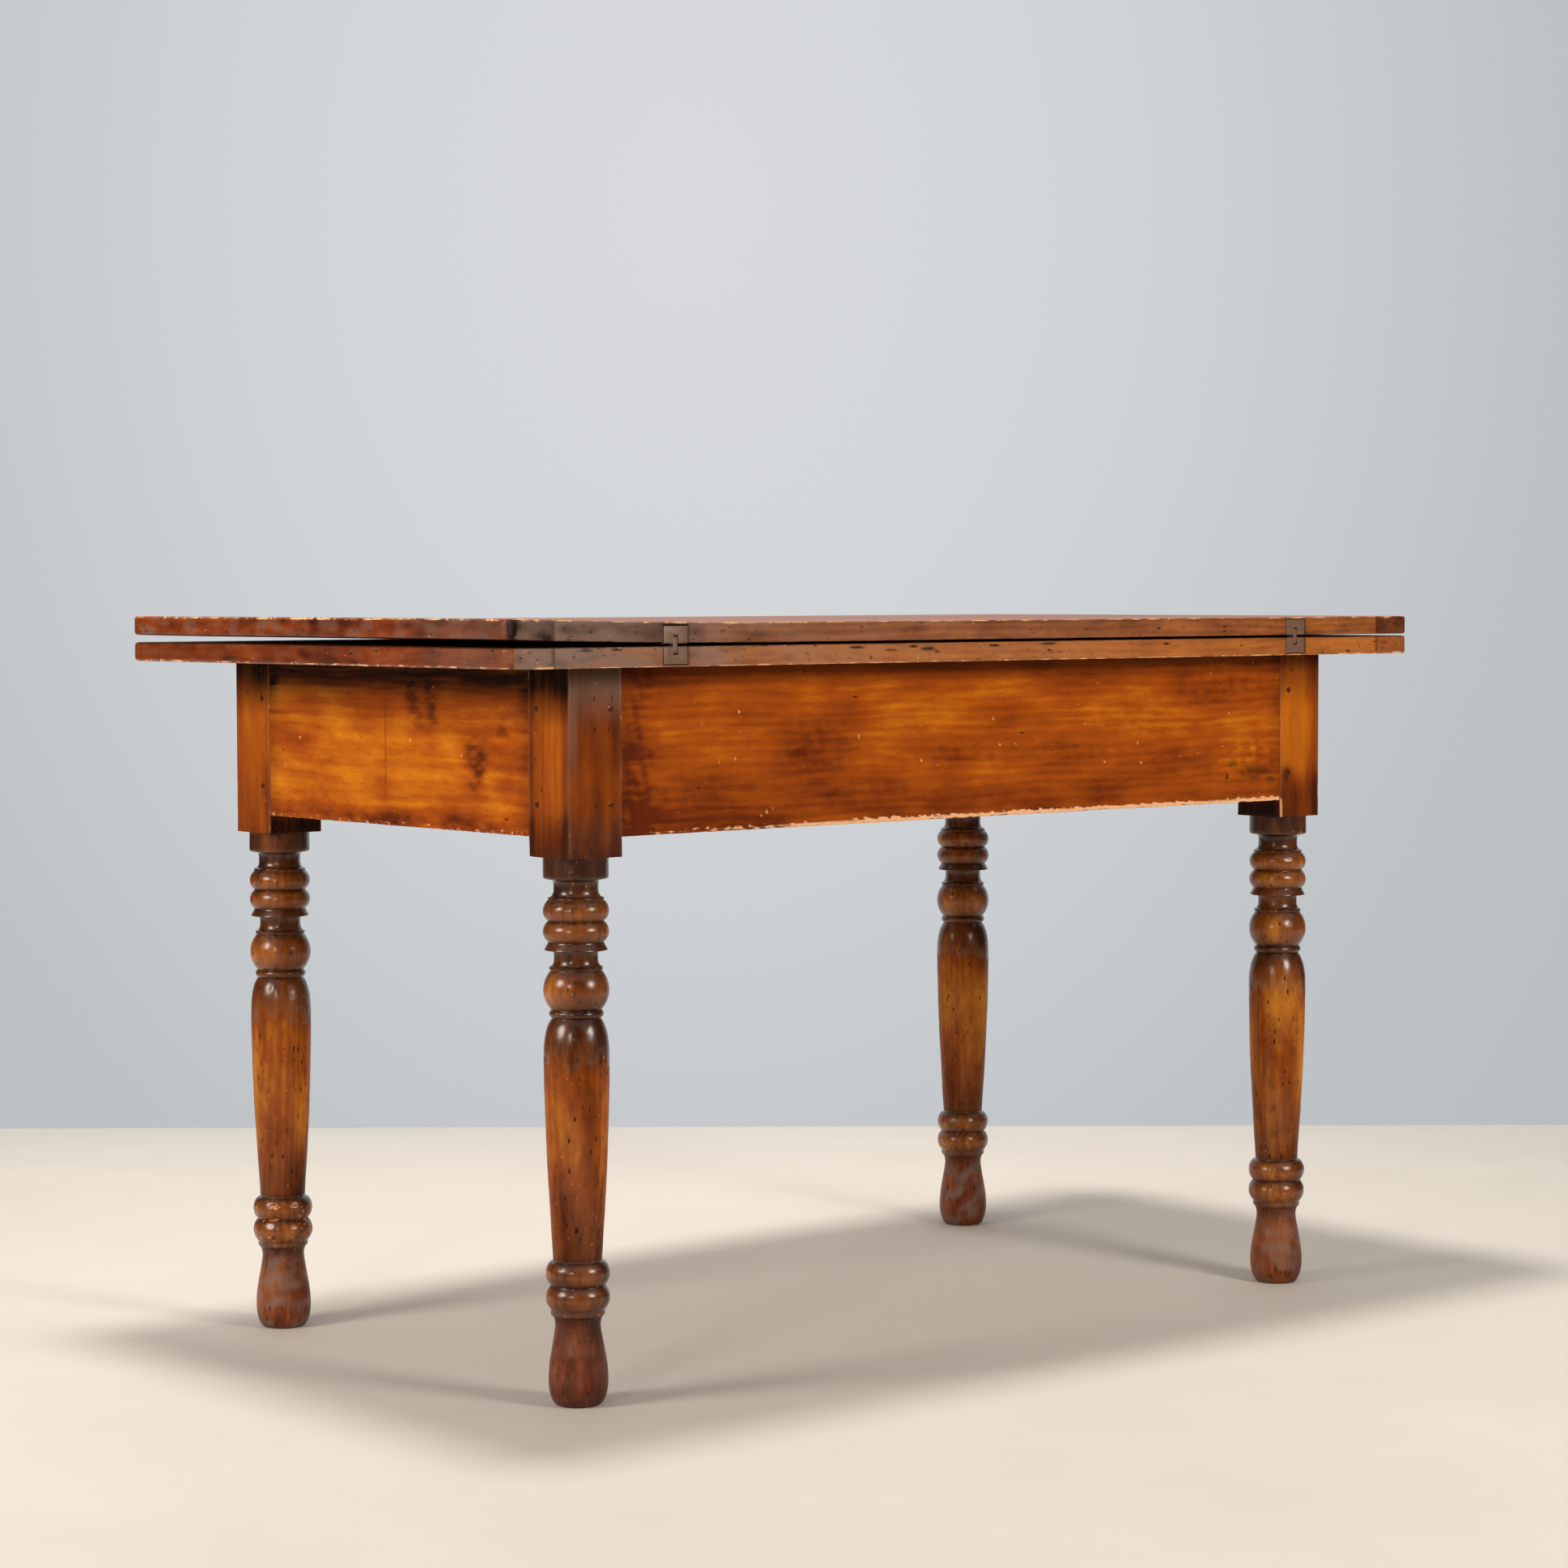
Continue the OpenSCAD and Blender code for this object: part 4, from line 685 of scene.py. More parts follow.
    dress(name + "_turned", skin_mesh(name + "_turned", skin), "frame",
          ("leg_wood", foot_wood, leg_wood, shaft_wood, leg_wood, post_wood), "z", name,
          marks, seed, zones=zones)


def near_post(front, toward, z, cloud):
    """Tone, haze and painted sheen, dirt and scars of the near post's square head at places on
    its front or back, or else on its sides, so far along the face from its middle and so high.
    Its front is dark red-brown, with a painted grey sheen along the left arris and grey at the
    top, and its left face amber between dark edges."""
    edge = fade(np.abs(toward), 14, 30)
    low = 1 - fade(z, 560, 600)
    on_front = -0.2 - 0.3 * fade(z, 620, 650) - 0.35 * low - 0.5 * fade(toward, 14, 30)
    tone = np.where(front, on_front, 0.3 - 0.7 * edge - 0.8 * low)
    # Painted grey sheen along the left arris of the front
    sheen_strip = (1 - fade(toward, -26, -19)) * (0.6 + 0.6 * cloud)
    haze_and_sheen = 0.8 * fade(z, 670, 728) + 0.4 * np.clip(sheen_strip, 0, 1) + 0.1 * low
    return tone + 0.12 * cloud, np.where(front, haze_and_sheen, 0), 0.25 * low * ~front, 0.0


def right_post(front, toward, z, cloud):
    """The same of the right post: honey, with a darker right edge, a redder top and foot, a
    knot beside the apron and a pale scar where its left arris is broken below the apron.
    What the apron leaves in the dark on its side is painted nearly black, as shade."""
    tone = (0.68 - 0.5 * fade(toward, 4, 28) - 0.5 * fade(z + 8 * cloud, 660, 715)
            - 1.1 * (1 - fade(z + 6 * cloud, 565, 608)))
    knot = blob(np.stack([toward, z], 1), (-22, 596), (7, 8)) * front
    # Painted shade: nearly black below the apron on the sides
    dark = 0.85 * (1 - fade(z, *BELOW_APRON)) * ~front
    scar = 0.9 * (1 - fade(toward, -30, -26)) * (1 - fade(z, 562, 567)) * front
    tone = np.where(front, tone, -0.3) + 0.2 * cloud - 0.8 * knot
    return tone, 0.0, dark + 0.5 * knot, scar


def other_post(front, toward, z, cloud):
    """The same of the other posts: amber with dark edges, a redder foot, and a place painted
    nearly black, as shade, where the apron leaves the front in the dark."""
    tone = 0.5 - 0.5 * fade(np.abs(toward), 12, 32) - 0.6 * (1 - fade(z, 560, 640))
    # The third value is painted shade, nearly black below the apron on the front
    return tone + 0.15 * cloud, 0.0, 0.85 * (1 - fade(z, *BELOW_APRON)) * front, 0.0


# Dirt with painted shade, tone, and haze with painted sheen up the turning: heights, then shares.
# Grooves and necks are painted dark, as shade with dirt
TURNED_DIRT_AND_SHADE = ((0, 6, 25, 60, 76, 90, 96, 101, 107, 114, 119.5, 125, 131, 138, 143.5, 150,
                175, 215, 320, 345, 368, 384, 388, 391, 394, 399, 408, 420, 430, 436, 445,
                456, 461, 466, 472, 478, 482, 487, 493, 499, 504, 512, 521, 526, 546, 560),
               (0.55, 0.35, 0.10, 0.10, 0.35, 0.60, 0.55, 0.18, 0.05, 0.20, 0.80, 0.20, 0.06,
                0.22, 0.75, 0.45, 0.30, 0.05, 0.02, 0.05, 0.15, 0.45, 0.50, 0.30, 0.85, 0.25,
                0.05, 0.08, 0.45, 0.75, 0.50, 0.45, 0.80, 0.20, 0.05, 0.20, 0.80, 0.20, 0.05,
                0.30, 0.70, 0.55, 0.65, 0.25, 0.25, 0.05))
TURNED_TONE = ((0, 60, 95, 140, 190, 260, 330, 365, 386, 414, 450, 472, 493, 520, 546),
               (-0.15, -0.25, -0.30, -0.35, -0.30, -0.05, 0.0, -0.55, -0.95, -0.05, -0.70,
                -0.10, -0.10, -0.80, -0.90))
TURNED_HAZE_AND_SHEEN = ((0, 90, 100, 140, 150, 170, 240, 330, 385, 440, 520, 546),
               (0.05, 0.15, 0.06, 0.06, 0.22, 0.20, 0.12, 0.06, 0.03, 0.04, 0.04, 0.02))

# Dirt with painted shade under the overhang of the top on the square heads: heights, then its
# share on the faces to the left and right, and on the faces to the front and back
HEAD_BAND = (671, 677, 683, 689, 695, 701, 707, 713, 719, 725)
HEAD_SIDE_DIRT_AND_SHADE = (0.0, 0.12, 0.22, 0.34, 0.42, 0.56, 0.74, 0.86, 0.92, 0.96)
HEAD_FRONT_DIRT_AND_SHADE = (0.0, 0.04, 0.08, 0.12, 0.18, 0.25, 0.32, 0.36, 0.42, 0.50)

for number, (place_name, *look) in enumerate((
        ("front_left", 0.25, 0.0, 0.15, near_post), ("front_right", 0.35, 0.3, 0.5, right_post),
        ("back_left", 0.9, 0.2, 0.8, other_post), ("back_right", 0.4, 0.3, 0.95, other_post))):
    turned_leg("leg_" + place_name, 100 + 30 * number, *look)


# Aprons

def apron(name, side, seed, along, span, inner, outer, base, dirt_and_shade_band, shades, spots, chips,
          flecks=()):
    """A board on edge between the posts: its section carried from shoulder to shoulder.
    span is half its length, and inner and outer say how far its faces lie from the middle.
    base is its tone at some heights, and band the shares of dirt and painted shade under the top
    at some heights. shades change the tone and spots are dark: place along it, height, half
    length, half height, strength. chips gives the share of the bottom arris that is splintered, 0
    to 1, and flecks are places where the finish is knocked off."""
    section, _ = loop(outer - inner, FRAME_HEIGHT - APRON_BOTTOM, (1.0, 0.5, 0.5, APRON_EASE),
                      (14, 8, APRON_STEP, 8))
    stations = np.arange(-span, span + 0.1, APRON_STEP)
    stations[-1] = span
    place, across = np.meshgrid(stations, inner + section[:, 0], indexing="ij")
    height = np.broadcast_to(APRON_BOTTOM + section[:, 1], across.shape)
    parts = (place, side * across, height) if along == "x" else (side * across, place, height)
    skin = np.stack(parts, -1)
    low_edge = (1 - fade(height, APRON_BOTTOM, APRON_BOTTOM + 3.5)) * (across > outer - 4)
    chip = patches(skin, (11, 11, 7), seed + 2, 0.1, 1.3) * chips(place)
    splinter = patches(skin, (3.5, 3.5, 5), seed + 3, 0.2, 1.4) * chips(place)
    face = ripple(skin, 120, seed) * 0.12 + ripple(skin, 34, seed + 1) * 0.04
    move = face - low_edge * (CHIP_DEPTH * chip + 0.6 * splinter)
    skin = skin + outward(skin) * move[..., None]
    axis = 1 if along == "x" else 0
    skin[..., axis] = side * np.minimum(side * skin[..., axis], outer)
    skin[..., 2] = np.clip(skin[..., 2], APRON_BOTTOM, FRAME_HEIGHT)

    def marks(points):
        run, out, z = points[:, 1 - axis], side * points[:, axis], points[:, 2]
        flat = np.stack([run, z], 1)
        ragged = 0.85 + 0.3 * ripple(points, (16, 16, 9), seed + 8)
        cloud = ripple(points, (90, 90, 40), seed + 6)
        tone = np.interp(z, *base) + 0.15 * cloud
        dirt = np.zeros(len(points))
        for place, height, half_run, half_height, change in shades:
            tone += change * blob(flat, (place, height), (half_run, half_height)) * ragged
        for place, height, half_run, half_height, strength in spots:
            spot = blob(flat, (place, height), (half_run, half_height))
            dirt = np.maximum(dirt, strength * fade(spot * ragged, 0.15, 0.75))
        # Dirt with painted shade under the top, and painted shade in the corners beside the posts
        dirt_and_shade_under_top = np.interp(z + 1.5 * cloud, *dirt_and_shade_band)
        shade_at_post = 0.3 * fade(np.abs(run), span - 26, span)
        inside = fade(out, inner + 4, outer - 2)
        edge = fade(out, outer - 5, outer - 1)
        broken = patches(points, (9, 9, 6), seed + 2, 0.0, 1.0)
        low = 1 - fade(z - broken, APRON_BOTTOM + 2.5, APRON_BOTTOM + 6.0)
        near = 1 - fade(z, APRON_BOTTOM + 1, APRON_BOTTOM + 10)
        fibre = patches(points, (7, 7, 2.5), seed + 9, 0.2, 1.2)
        torn = chips(run) * edge * (low * (0.55 + 0.6 * broken) + near * fibre * broken)
        knocked = np.zeros(len(points))
        for place, height in flecks:
            knocked = np.maximum(knocked, 0.8 * blob(flat, (place, height), (1.5, 2.2)))
        knocked = np.maximum(torn, knocked * inside)
        # Painted shade on the inner face, under the table
        dirt_and_shade = (dirt_and_shade_under_top + shade_at_post + dirt) * inside + 0.25 * (1 - inside)
        return tone, dirt_and_shade * (1 - 0.8 * knocked), knocked, 0.15 * (1 - inside)

    dress(name + "_board", skin_mesh(name + "_board", skin), "frame",
          ("apron_wood", apron_wood), along, name, marks, seed)


# Golden and brown places on the aprons, and dark knots, stains and cracks: place along the
# apron, height, half length, half height and strength. Flecks: place and height
# On the front apron, the dark place beside the near post, at -462, is painted shade
FRONT_SHADES = ((-370, 678, 72, 30, 0.10), (-395, 615, 60, 40, -0.24), (-462, 640, 26, 120, -1.0),
                (-215, 655, 60, 34, -0.42), (-150, 668, 60, 14, 0.15), (-150, 595, 90, 18, -0.25),
                (-20, 632, 90, 16, -0.35), (60, 590, 90, 14, 0.10), (190, 662, 70, 16, 0.12),
                (170, 630, 60, 14, -0.25), (300, 680, 90, 26, -0.12), (400, 705, 80, 24, -0.45),
                (430, 625, 40, 14, 0.25), (440, 612, 60, 32, 0.55))
FRONT_SPOTS = ((437, 600, 30, 9, 0.6), (400, 610, 10, 6, 0.5), (391, 596, 2.5, 4, 0.9),
               (463, 590, 12, 4, 0.5), (-316, 655, 2, 20, 0.15))
FRONT_FLECKS = ((-328, 685), (-327, 665), (-333, 638), (-355, 635), (-167, 656), (-79, 628),
                (-80, 666), (26, 671), (35, 642), (60, 642), (164, 661), (247, 638),
                (136, 625), (195, 619), (252, 616), (-299, 579), (-292, 583), (-285, 586))
LEFT_SHADES = ((110, 645, 80, 40, 0.15), (-40, 640, 80, 30, 0.10), (-190, 600, 40, 30, -0.05),
               (-215, 660, 45, 90, -0.3), (0, 572, 220, 9, -0.75), (150, 585, 60, 8, -0.4),
               (60, 700, 120, 14, -0.1), (-36, 692, 16, 30, -0.55), (-66, 692, 15, 30, -0.6),
               (-145, 640, 23, 21, -0.8), (-148, 622, 12, 14, -0.6))
LEFT_SPOTS = ((-31, 702, 11, 15, 0.20), (-38, 689, 11, 15, 0.28), (-46, 675, 10, 12, 0.25),
              (-62, 704, 8, 13, 0.22), (-68, 690, 9, 15, 0.30), (-73, 675, 9, 12, 0.28),
              (-145, 642, 22, 19, 0.35), (-150, 636, 12, 14, 0.60), (-147, 623, 8, 9, 0.55),
              (-139, 611, 9, 5, 0.60), (14.6, 637, 1.0, 52, 0.4), (120, 628, 3, 2, 0.6),
              (178, 668, 3, 2, 0.6), (60, 655, 2, 3, 0.5), (-190, 668, 12, 6, 0.35))
LEFT_FLECKS = ((172, 640), (176, 652), (205, 622), (60, 610), (-30, 655), (-120, 642))
BACK_SHADES = ((-300, 650, 120, 30, 0.3), (120, 680, 90, 20, -0.3), (330, 620, 90, 24, 0.25))
BACK_SPOTS = ((-180, 630, 12, 9, 0.6), (210, 680, 8, 6, 0.6))
RIGHT_SHADES = ((100, 650, 70, 30, 0.3), (-120, 620, 60, 20, -0.3))
RIGHT_SPOTS = ((60, 640, 14, 10, 0.5),)
# Tone, and dirt with painted shade, of the aprons up their height: redder low down, and painted
# dark under the top, as shade with dirt. Heights, then tones or shares of dirt and shade
FRONT_TONE = ((566, 590, 625, 660, 690, 705, 733), (-0.50, -0.45, -0.2, 0.0, 0.0, -0.05, -0.3))
SIDE_TONE = ((566, 590, 733), (-0.1, 0.2, 0.2))
FRONT_DIRT_AND_SHADE = ((690, 713, 719, 725, 731), (0.0, 0.08, 0.20, 0.35, 0.60))
SIDE_DIRT_AND_SHADE = ((655, 672, 689, 695, 701, 707, 713, 719, 725),
             (0.0, 0.15, 0.24, 0.32, 0.45, 0.64, 0.80, 0.92, 0.95))
# Direction, half length, inner and outer face, tone and dirt
LONG_APRON = ("x", POST_INNER_X, APRON_INNER_Y, APRON_OUTER_Y, FRONT_TONE, FRONT_DIRT_AND_SHADE)
SHORT_APRON = ("y", POST_INNER_Y, APRON_INNER_X, APRON_OUTER_X, SIDE_TONE, SIDE_DIRT_AND_SHADE)
apron("front_apron", -1, 300, *LONG_APRON, FRONT_SHADES, FRONT_SPOTS,
      lambda x: 0.45 * fade(x, -470, -440) + 0.75 * fade(x, -300, -230), FRONT_FLECKS)
apron("back_apron", 1, 340, *LONG_APRON, BACK_SHADES, BACK_SPOTS, lambda x: 0.35 + 0 * x)
apron("left_apron", -1, 380, *SHORT_APRON, LEFT_SHADES, LEFT_SPOTS, lambda y: 0.3 + 0 * y,
      LEFT_FLECKS)
apron("right_apron", 1, 420, *SHORT_APRON, RIGHT_SHADES, RIGHT_SPOTS, lambda y: 0.3 + 0 * y)


# Pegs of the frame joints

def joint_pegs():
    """Sixteen riven pegs, each an eight-sided rod with soft corners whose end is a shallow
    dome just proud of the post. All of them are one mesh, as in the CAD node."""
    turn = np.linspace(0, 2 * np.pi, 25)[:-1]
    corner = 1 - 0.05 * np.abs(np.sin(4 * turn))
    ring = PEG_RADIUS * corner * np.array([1, 1, 0.95, 0.8, 0.55, 0.2])[:, None]
    beside, rise = ring * np.cos(turn), ring * np.sin(turn)
    out = PEG_PROUD - np.array([8, 0.55, 0.25, 0.1, 0.03, 0.0])[:, None] + 0 * ring
    whole = bmesh.new()
    for x_sign, y_sign, height, face in product((-1, 1), (-1, 1), PEG_RISES, "xy"):
        if face == "y":
            x = x_sign * (POST_INNER_X + PEG_INSET) + beside
            y = y_sign * (POST_INNER_Y + POST + out)
        else:
            x = x_sign * (POST_INNER_X + POST + out)
            y = y_sign * (POST_INNER_Y + PEG_INSET) + beside
        peg = skin_mesh("peg", np.stack([x, y, APRON_BOTTOM + height + rise], -1))
        heal(peg)
        whole.from_mesh(peg)
        bpy.data.meshes.remove(peg)
    mesh = bpy.data.meshes.new("joint_peg_ends")
    whole.to_mesh(mesh)
    whole.free()
    dress("joint_peg_ends", mesh, "frame", ("peg_wood", peg_wood), "x", "joint_pegs", seed=7)


joint_pegs()


# Leaves

def warp(x, rise):
    """Rise of the warped leaf at x: a parabola that starts left of the middle."""
    bend = np.maximum(0, -WARP_START - x) / (LEAF_HALF_LENGTH - WARP_START)
    return rise * bend ** 2


def to_leaf(x, y, depth, upper):
    """Points of a leaf from its plan and the depth behind its play face."""
    z = UPPER_PLAY_Z + depth + warp(x, WARP_RISE) if upper else LOWER_PLAY_Z - depth
    return np.stack([x, y, z], -1)


def edge_distance(points):
    """How far the points lie inside the outline of the leaf with its rounded corners."""
    out = np.abs(points[:, :2]) - (LEAF_HALF_LENGTH, LEAF_HALF_WIDTH) + CORNER_RADIUS
    return CORNER_RADIUS - np.where(out.min(1) > 0, np.hypot(*out.T), out.max(1))


def leaf_depth(points, upper):
    """Depth of points of a leaf behind its play face."""
    if upper:
        return points[:, 2] - UPPER_PLAY_Z - warp(points[:, 0], WARP_RISE)
    return LOWER_PLAY_Z - points[:, 2]


def leaf_marks(upper, seed, base):
    """Tone, dirt with painted shade, lost finish, and haze with painted sheen of a leaf, base its
    own tone. Its edge is painted dark in the gap, as shade, and dark round the hinge plates, has
    a painted grey sheen near the left front corner, is more golden to the right, and its outer
    arris is worn in a thin broken line."""
    side_tone, side_haze, end_tone, end_stain = (
        (-0.35, 0.5, 0.0, 0.4) if upper else (-0.27, 0.15, 0.35, 0.1))

    def marks(points):
        x, y, _ = points.T
        depth = leaf_depth(points, upper)
        edge = edge_distance(points)
        on_edge = 1 - fade(edge, 0.5, 3)
        at_front = (y < -LEAF_HALF_WIDTH + 4) * 1.0
        front_edge, side_edge = on_edge * at_front, on_edge * (1 - at_front)
        cloud = ripple(points, (80, 80, 30), seed)
        patch = ripple(points, (34, 34, 14), seed + 7)
        along = fade(x, -600, 500)
        left_part = 1 - fade(x, -470, -380)
        right_part = fade(x, -120, 60)
        right_end = fade(x, BOARDS_RIGHT, BOARDS_RIGHT + 2) * front_edge
        front_tone = (0.1 - 0.95 * left_part - 0.1 * right_part if upper
                      else 0.3 * along + 0.72 - 0.35 * right_part)
        tone = (base + front_edge * front_tone + side_edge * side_tone + 0.2 * on_edge * patch
                + (0.06 + 0.14 * on_edge) * cloud + end_tone * right_end)
        near = blob(points[:, :1], (-LEAF_HALF_LENGTH,), (190,))
        # Painted grey sheen on the front edge, strongest near the left corner
        haze_and_sheen = front_edge * (0.6 * near + 0.5 * (1 - along)) * (1 + 0.3 * cloud)
        haze_and_sheen += (1 - on_edge) * 0.08 * fade(cloud, 0.2, 1.5) + 0.15 * right_end
        haze_and_sheen += side_edge * (side_haze * fade(patch, -0.4, 1.6)
                             + 0.3 * blob(points[:, 1:2], (-280,), (70,)))
        nick = patches(points, (9, 9, 3), seed + 5, 1.0, 1.9)
        dirt_and_shade = on_edge * (0.08 + 0.25 * fade(patch, 0, 1.5) + 0.5 * nick)
        dirt_and_shade += side_edge * 0.3 * upper * blob(points[:, 1:2], (-340,), (70,))
        handled = 0.35 * (1 - fade(x, BOARDS_LEFT - 5, BOARDS_LEFT)) + 0.25 * left_part
        dirt_and_shade += front_edge * upper * handled * (0.85 + 0.3 * patch) + end_stain * right_end
        # The rounded left front corner is nearly black
        at_corner = blob(points[:, :2], (3 - LEAF_HALF_LENGTH, 3 - LEAF_HALF_WIDTH), (7, 7))
        dirt_and_shade += 0.9 * fade(at_corner, 0.3, 0.8) * upper * on_edge
        # Painted shade in the gap between the leaves, and dirt round the hinge plates
        dirt_and_shade += 0.55 * (1 - fade(depth, 0.2, 1.4)) * fade(edge, 0.2, 1.2) * (edge < 8)
        for hinge_x in (-HINGE_X, HINGE_X):
            aside = np.abs(x - hinge_x) - PLATE_WIDTH / 2
            line = (1 - fade(np.abs(aside), 0.5, 1.6)) * fade(PLATE_HEIGHT + 2 - depth, 0, 1)
            lid = np.abs(depth - PLATE_HEIGHT - 0.4) + 9 * (aside > 0)
            line = np.maximum(line, 1 - fade(lid, 0.4, 1.3))
            dirt_and_shade = np.maximum(dirt_and_shade, 0.97 * line * at_front)
            dirt_and_shade += 0.22 * blob(points[:, :1], (hinge_x,), (30,)) * at_front
        seam = np.minimum(np.abs(x - BOARDS_LEFT), np.abs(x - BOARDS_RIGHT))
        between = np.min([np.abs(y - s) for s in BOARD_SEAMS], axis=0)
        between = np.minimum(between + 99 * on_edge, seam)
        dirt_and_shade = np.maximum(dirt_and_shade, 0.6 * (1 - fade(between, 0.4, 1.5)))
        if not upper:
            dirt_and_shade += 0.3 * ((depth > LEAF_THICKNESS - 0.6) & (edge > 3))
            for centre, deep, reach in CRACKS:
                crack = blob(np.stack([x, depth], 1), (centre, deep), (reach, 1.7))
                dirt_and_shade = np.maximum(dirt_and_shade, 0.95 * fade(crack, 0.2, 0.7) * at_front)
        # The worn line on the outer arris
        ease = np.where(np.abs(x) > LEAF_HALF_LENGTH - 4, END_EASE, OUTER_EASE)
        line = 1 - fade(np.abs(edge + LEAF_THICKNESS - depth - ease * 0.6), 0.2, 0.9)
        broken = patches(points, (26, 26, 12), seed + 4, -0.4, 1.2)
        flakes = patches(points, (6, 6, 4), seed + 6, 0.7, 1.3)
        rim = (edge < ease + 1.5) & (depth > LEAF_THICKNESS - ease - 1.5)
        bare = rim * line * (0.3 + 0.4 * broken + 0.4 * flakes)
        return tone, dirt_and_shade * (1 - bare), bare, haze_and_sheen
    return marks


# Cracks in the front edge of the lower leaf: place along it, depth and half length
CRACKS = ((-213, 3.6, 12), (-166, 7.5, 10), (-135, 3.5, 7), (-115, 6.0, 12), (-102, 8.5, 5),
          (-194, 14.5, 2), (-576, 8.5, 2), (-560, 3.0, 9), (-523, 2.5, 8), (-20, 4.0, 9),
          (60, 3.0, 14), (240, 5.0, 6))
BOARD_SEAMS = [-LEAF_HALF_WIDTH + k * BOARD_WIDTH for k in range(1, BOARD_COUNT)]


def leaf_piece(leaf, node, label, skin, wear, onset, finish, along, tone, seed):
    """Makes a piece of a leaf in place of a CAD node, whose name it takes with the label.
    Where wear is 1 the piece is softened a little, and chipped where a ripple passes the
    onset. A board along X has flat ends to close, and the rings of an end board meet."""
    chip = patches(skin, (9, 9, 6), seed + 2, onset, onset + 0.8) * EDGE_CHIP_DEPTH
    soft = patches(skin, 40, seed + 3, -0.6, 1.4) * 0.25
    skin = skin - outward(skin) * (wear * (chip + soft))[..., None]
    mesh = skin_mesh(node + label, skin, capped=along == "x")
    dress(node + label, mesh, leaf + "_leaf", finish, along, node,
          leaf_marks(leaf == "upper", seed, tone), seed)


def leaf_board(leaf, place_name, number, tone, seed):
    """A long board of a leaf, counted from the front: its section carried along X. In
    front, the section steps back into two recesses for the hinge plates. tone is how much
    more golden the board is than the others."""
    width = BOARD_WIDTH
    front, back = number == 0, number == BOARD_COUNT - 1
    radii = (PLAY_EASE if front else SEAM_EASE, OUTER_EASE if front else SEAM_EASE,
             OUTER_EASE if back else SEAM_EASE, PLAY_EASE if back else SEAM_EASE)
    # Play round the hinge plates, and a hair's breadth for the walls of the recesses
    gap, hair = 0.3, 0.02
    recess_height, recess_depth = PLATE_HEIGHT + gap, KNUCKLE_DEPTH + gap
    flange_depth, flange_reach = FLANGE_THICKNESS + gap, FLANGE_LENGTH + gap
    half_recess = PLATE_WIDTH / 2 + gap
    breaks = ((recess_height - hair, recess_height), (), (),
              (width - flange_reach, width - flange_reach + hair))
    section, arris = loop(width, LEAF_THICKNESS, radii, (2.5, 14, 2.5, 14), breaks)
    notched = section.copy()
    inside = (section < np.array([flange_reach, recess_height]) - hair / 2).all(1)
    notched[inside] = np.maximum(section[inside], (recess_depth, flange_depth))
    stations = np.append(np.arange(BOARDS_LEFT, BOARDS_RIGHT, BOARD_STEP), BOARDS_RIGHT)
    if front:
        cuts = [x + s * (half_recess + h)
                for x, s, h in product((-HINGE_X, HINGE_X), (-1, 1), (0, hair))]
        stations = np.unique(np.append(stations, cuts))
    in_hinge = front & (np.abs(np.abs(stations) - HINGE_X) <= half_recess + hair / 2)
    sections = np.where(in_hinge[:, None, None], notched, section)
    across, depth = sections[..., 0], sections[..., 1]
    x = np.broadcast_to(stations[:, None], depth.shape)
    skin = to_leaf(x, number * width - LEAF_HALF_WIDTH + across, depth, leaf == "upper")
    wear = arris * ((across < 5) * front + (across > width - 5) * back) * ~in_hinge[:, None]
    leaf_piece(leaf, f"{leaf}_{place_name}_board", "_planed", skin, wear, 0.7,
               ("top_wood", top_wood), "x", tone, seed)


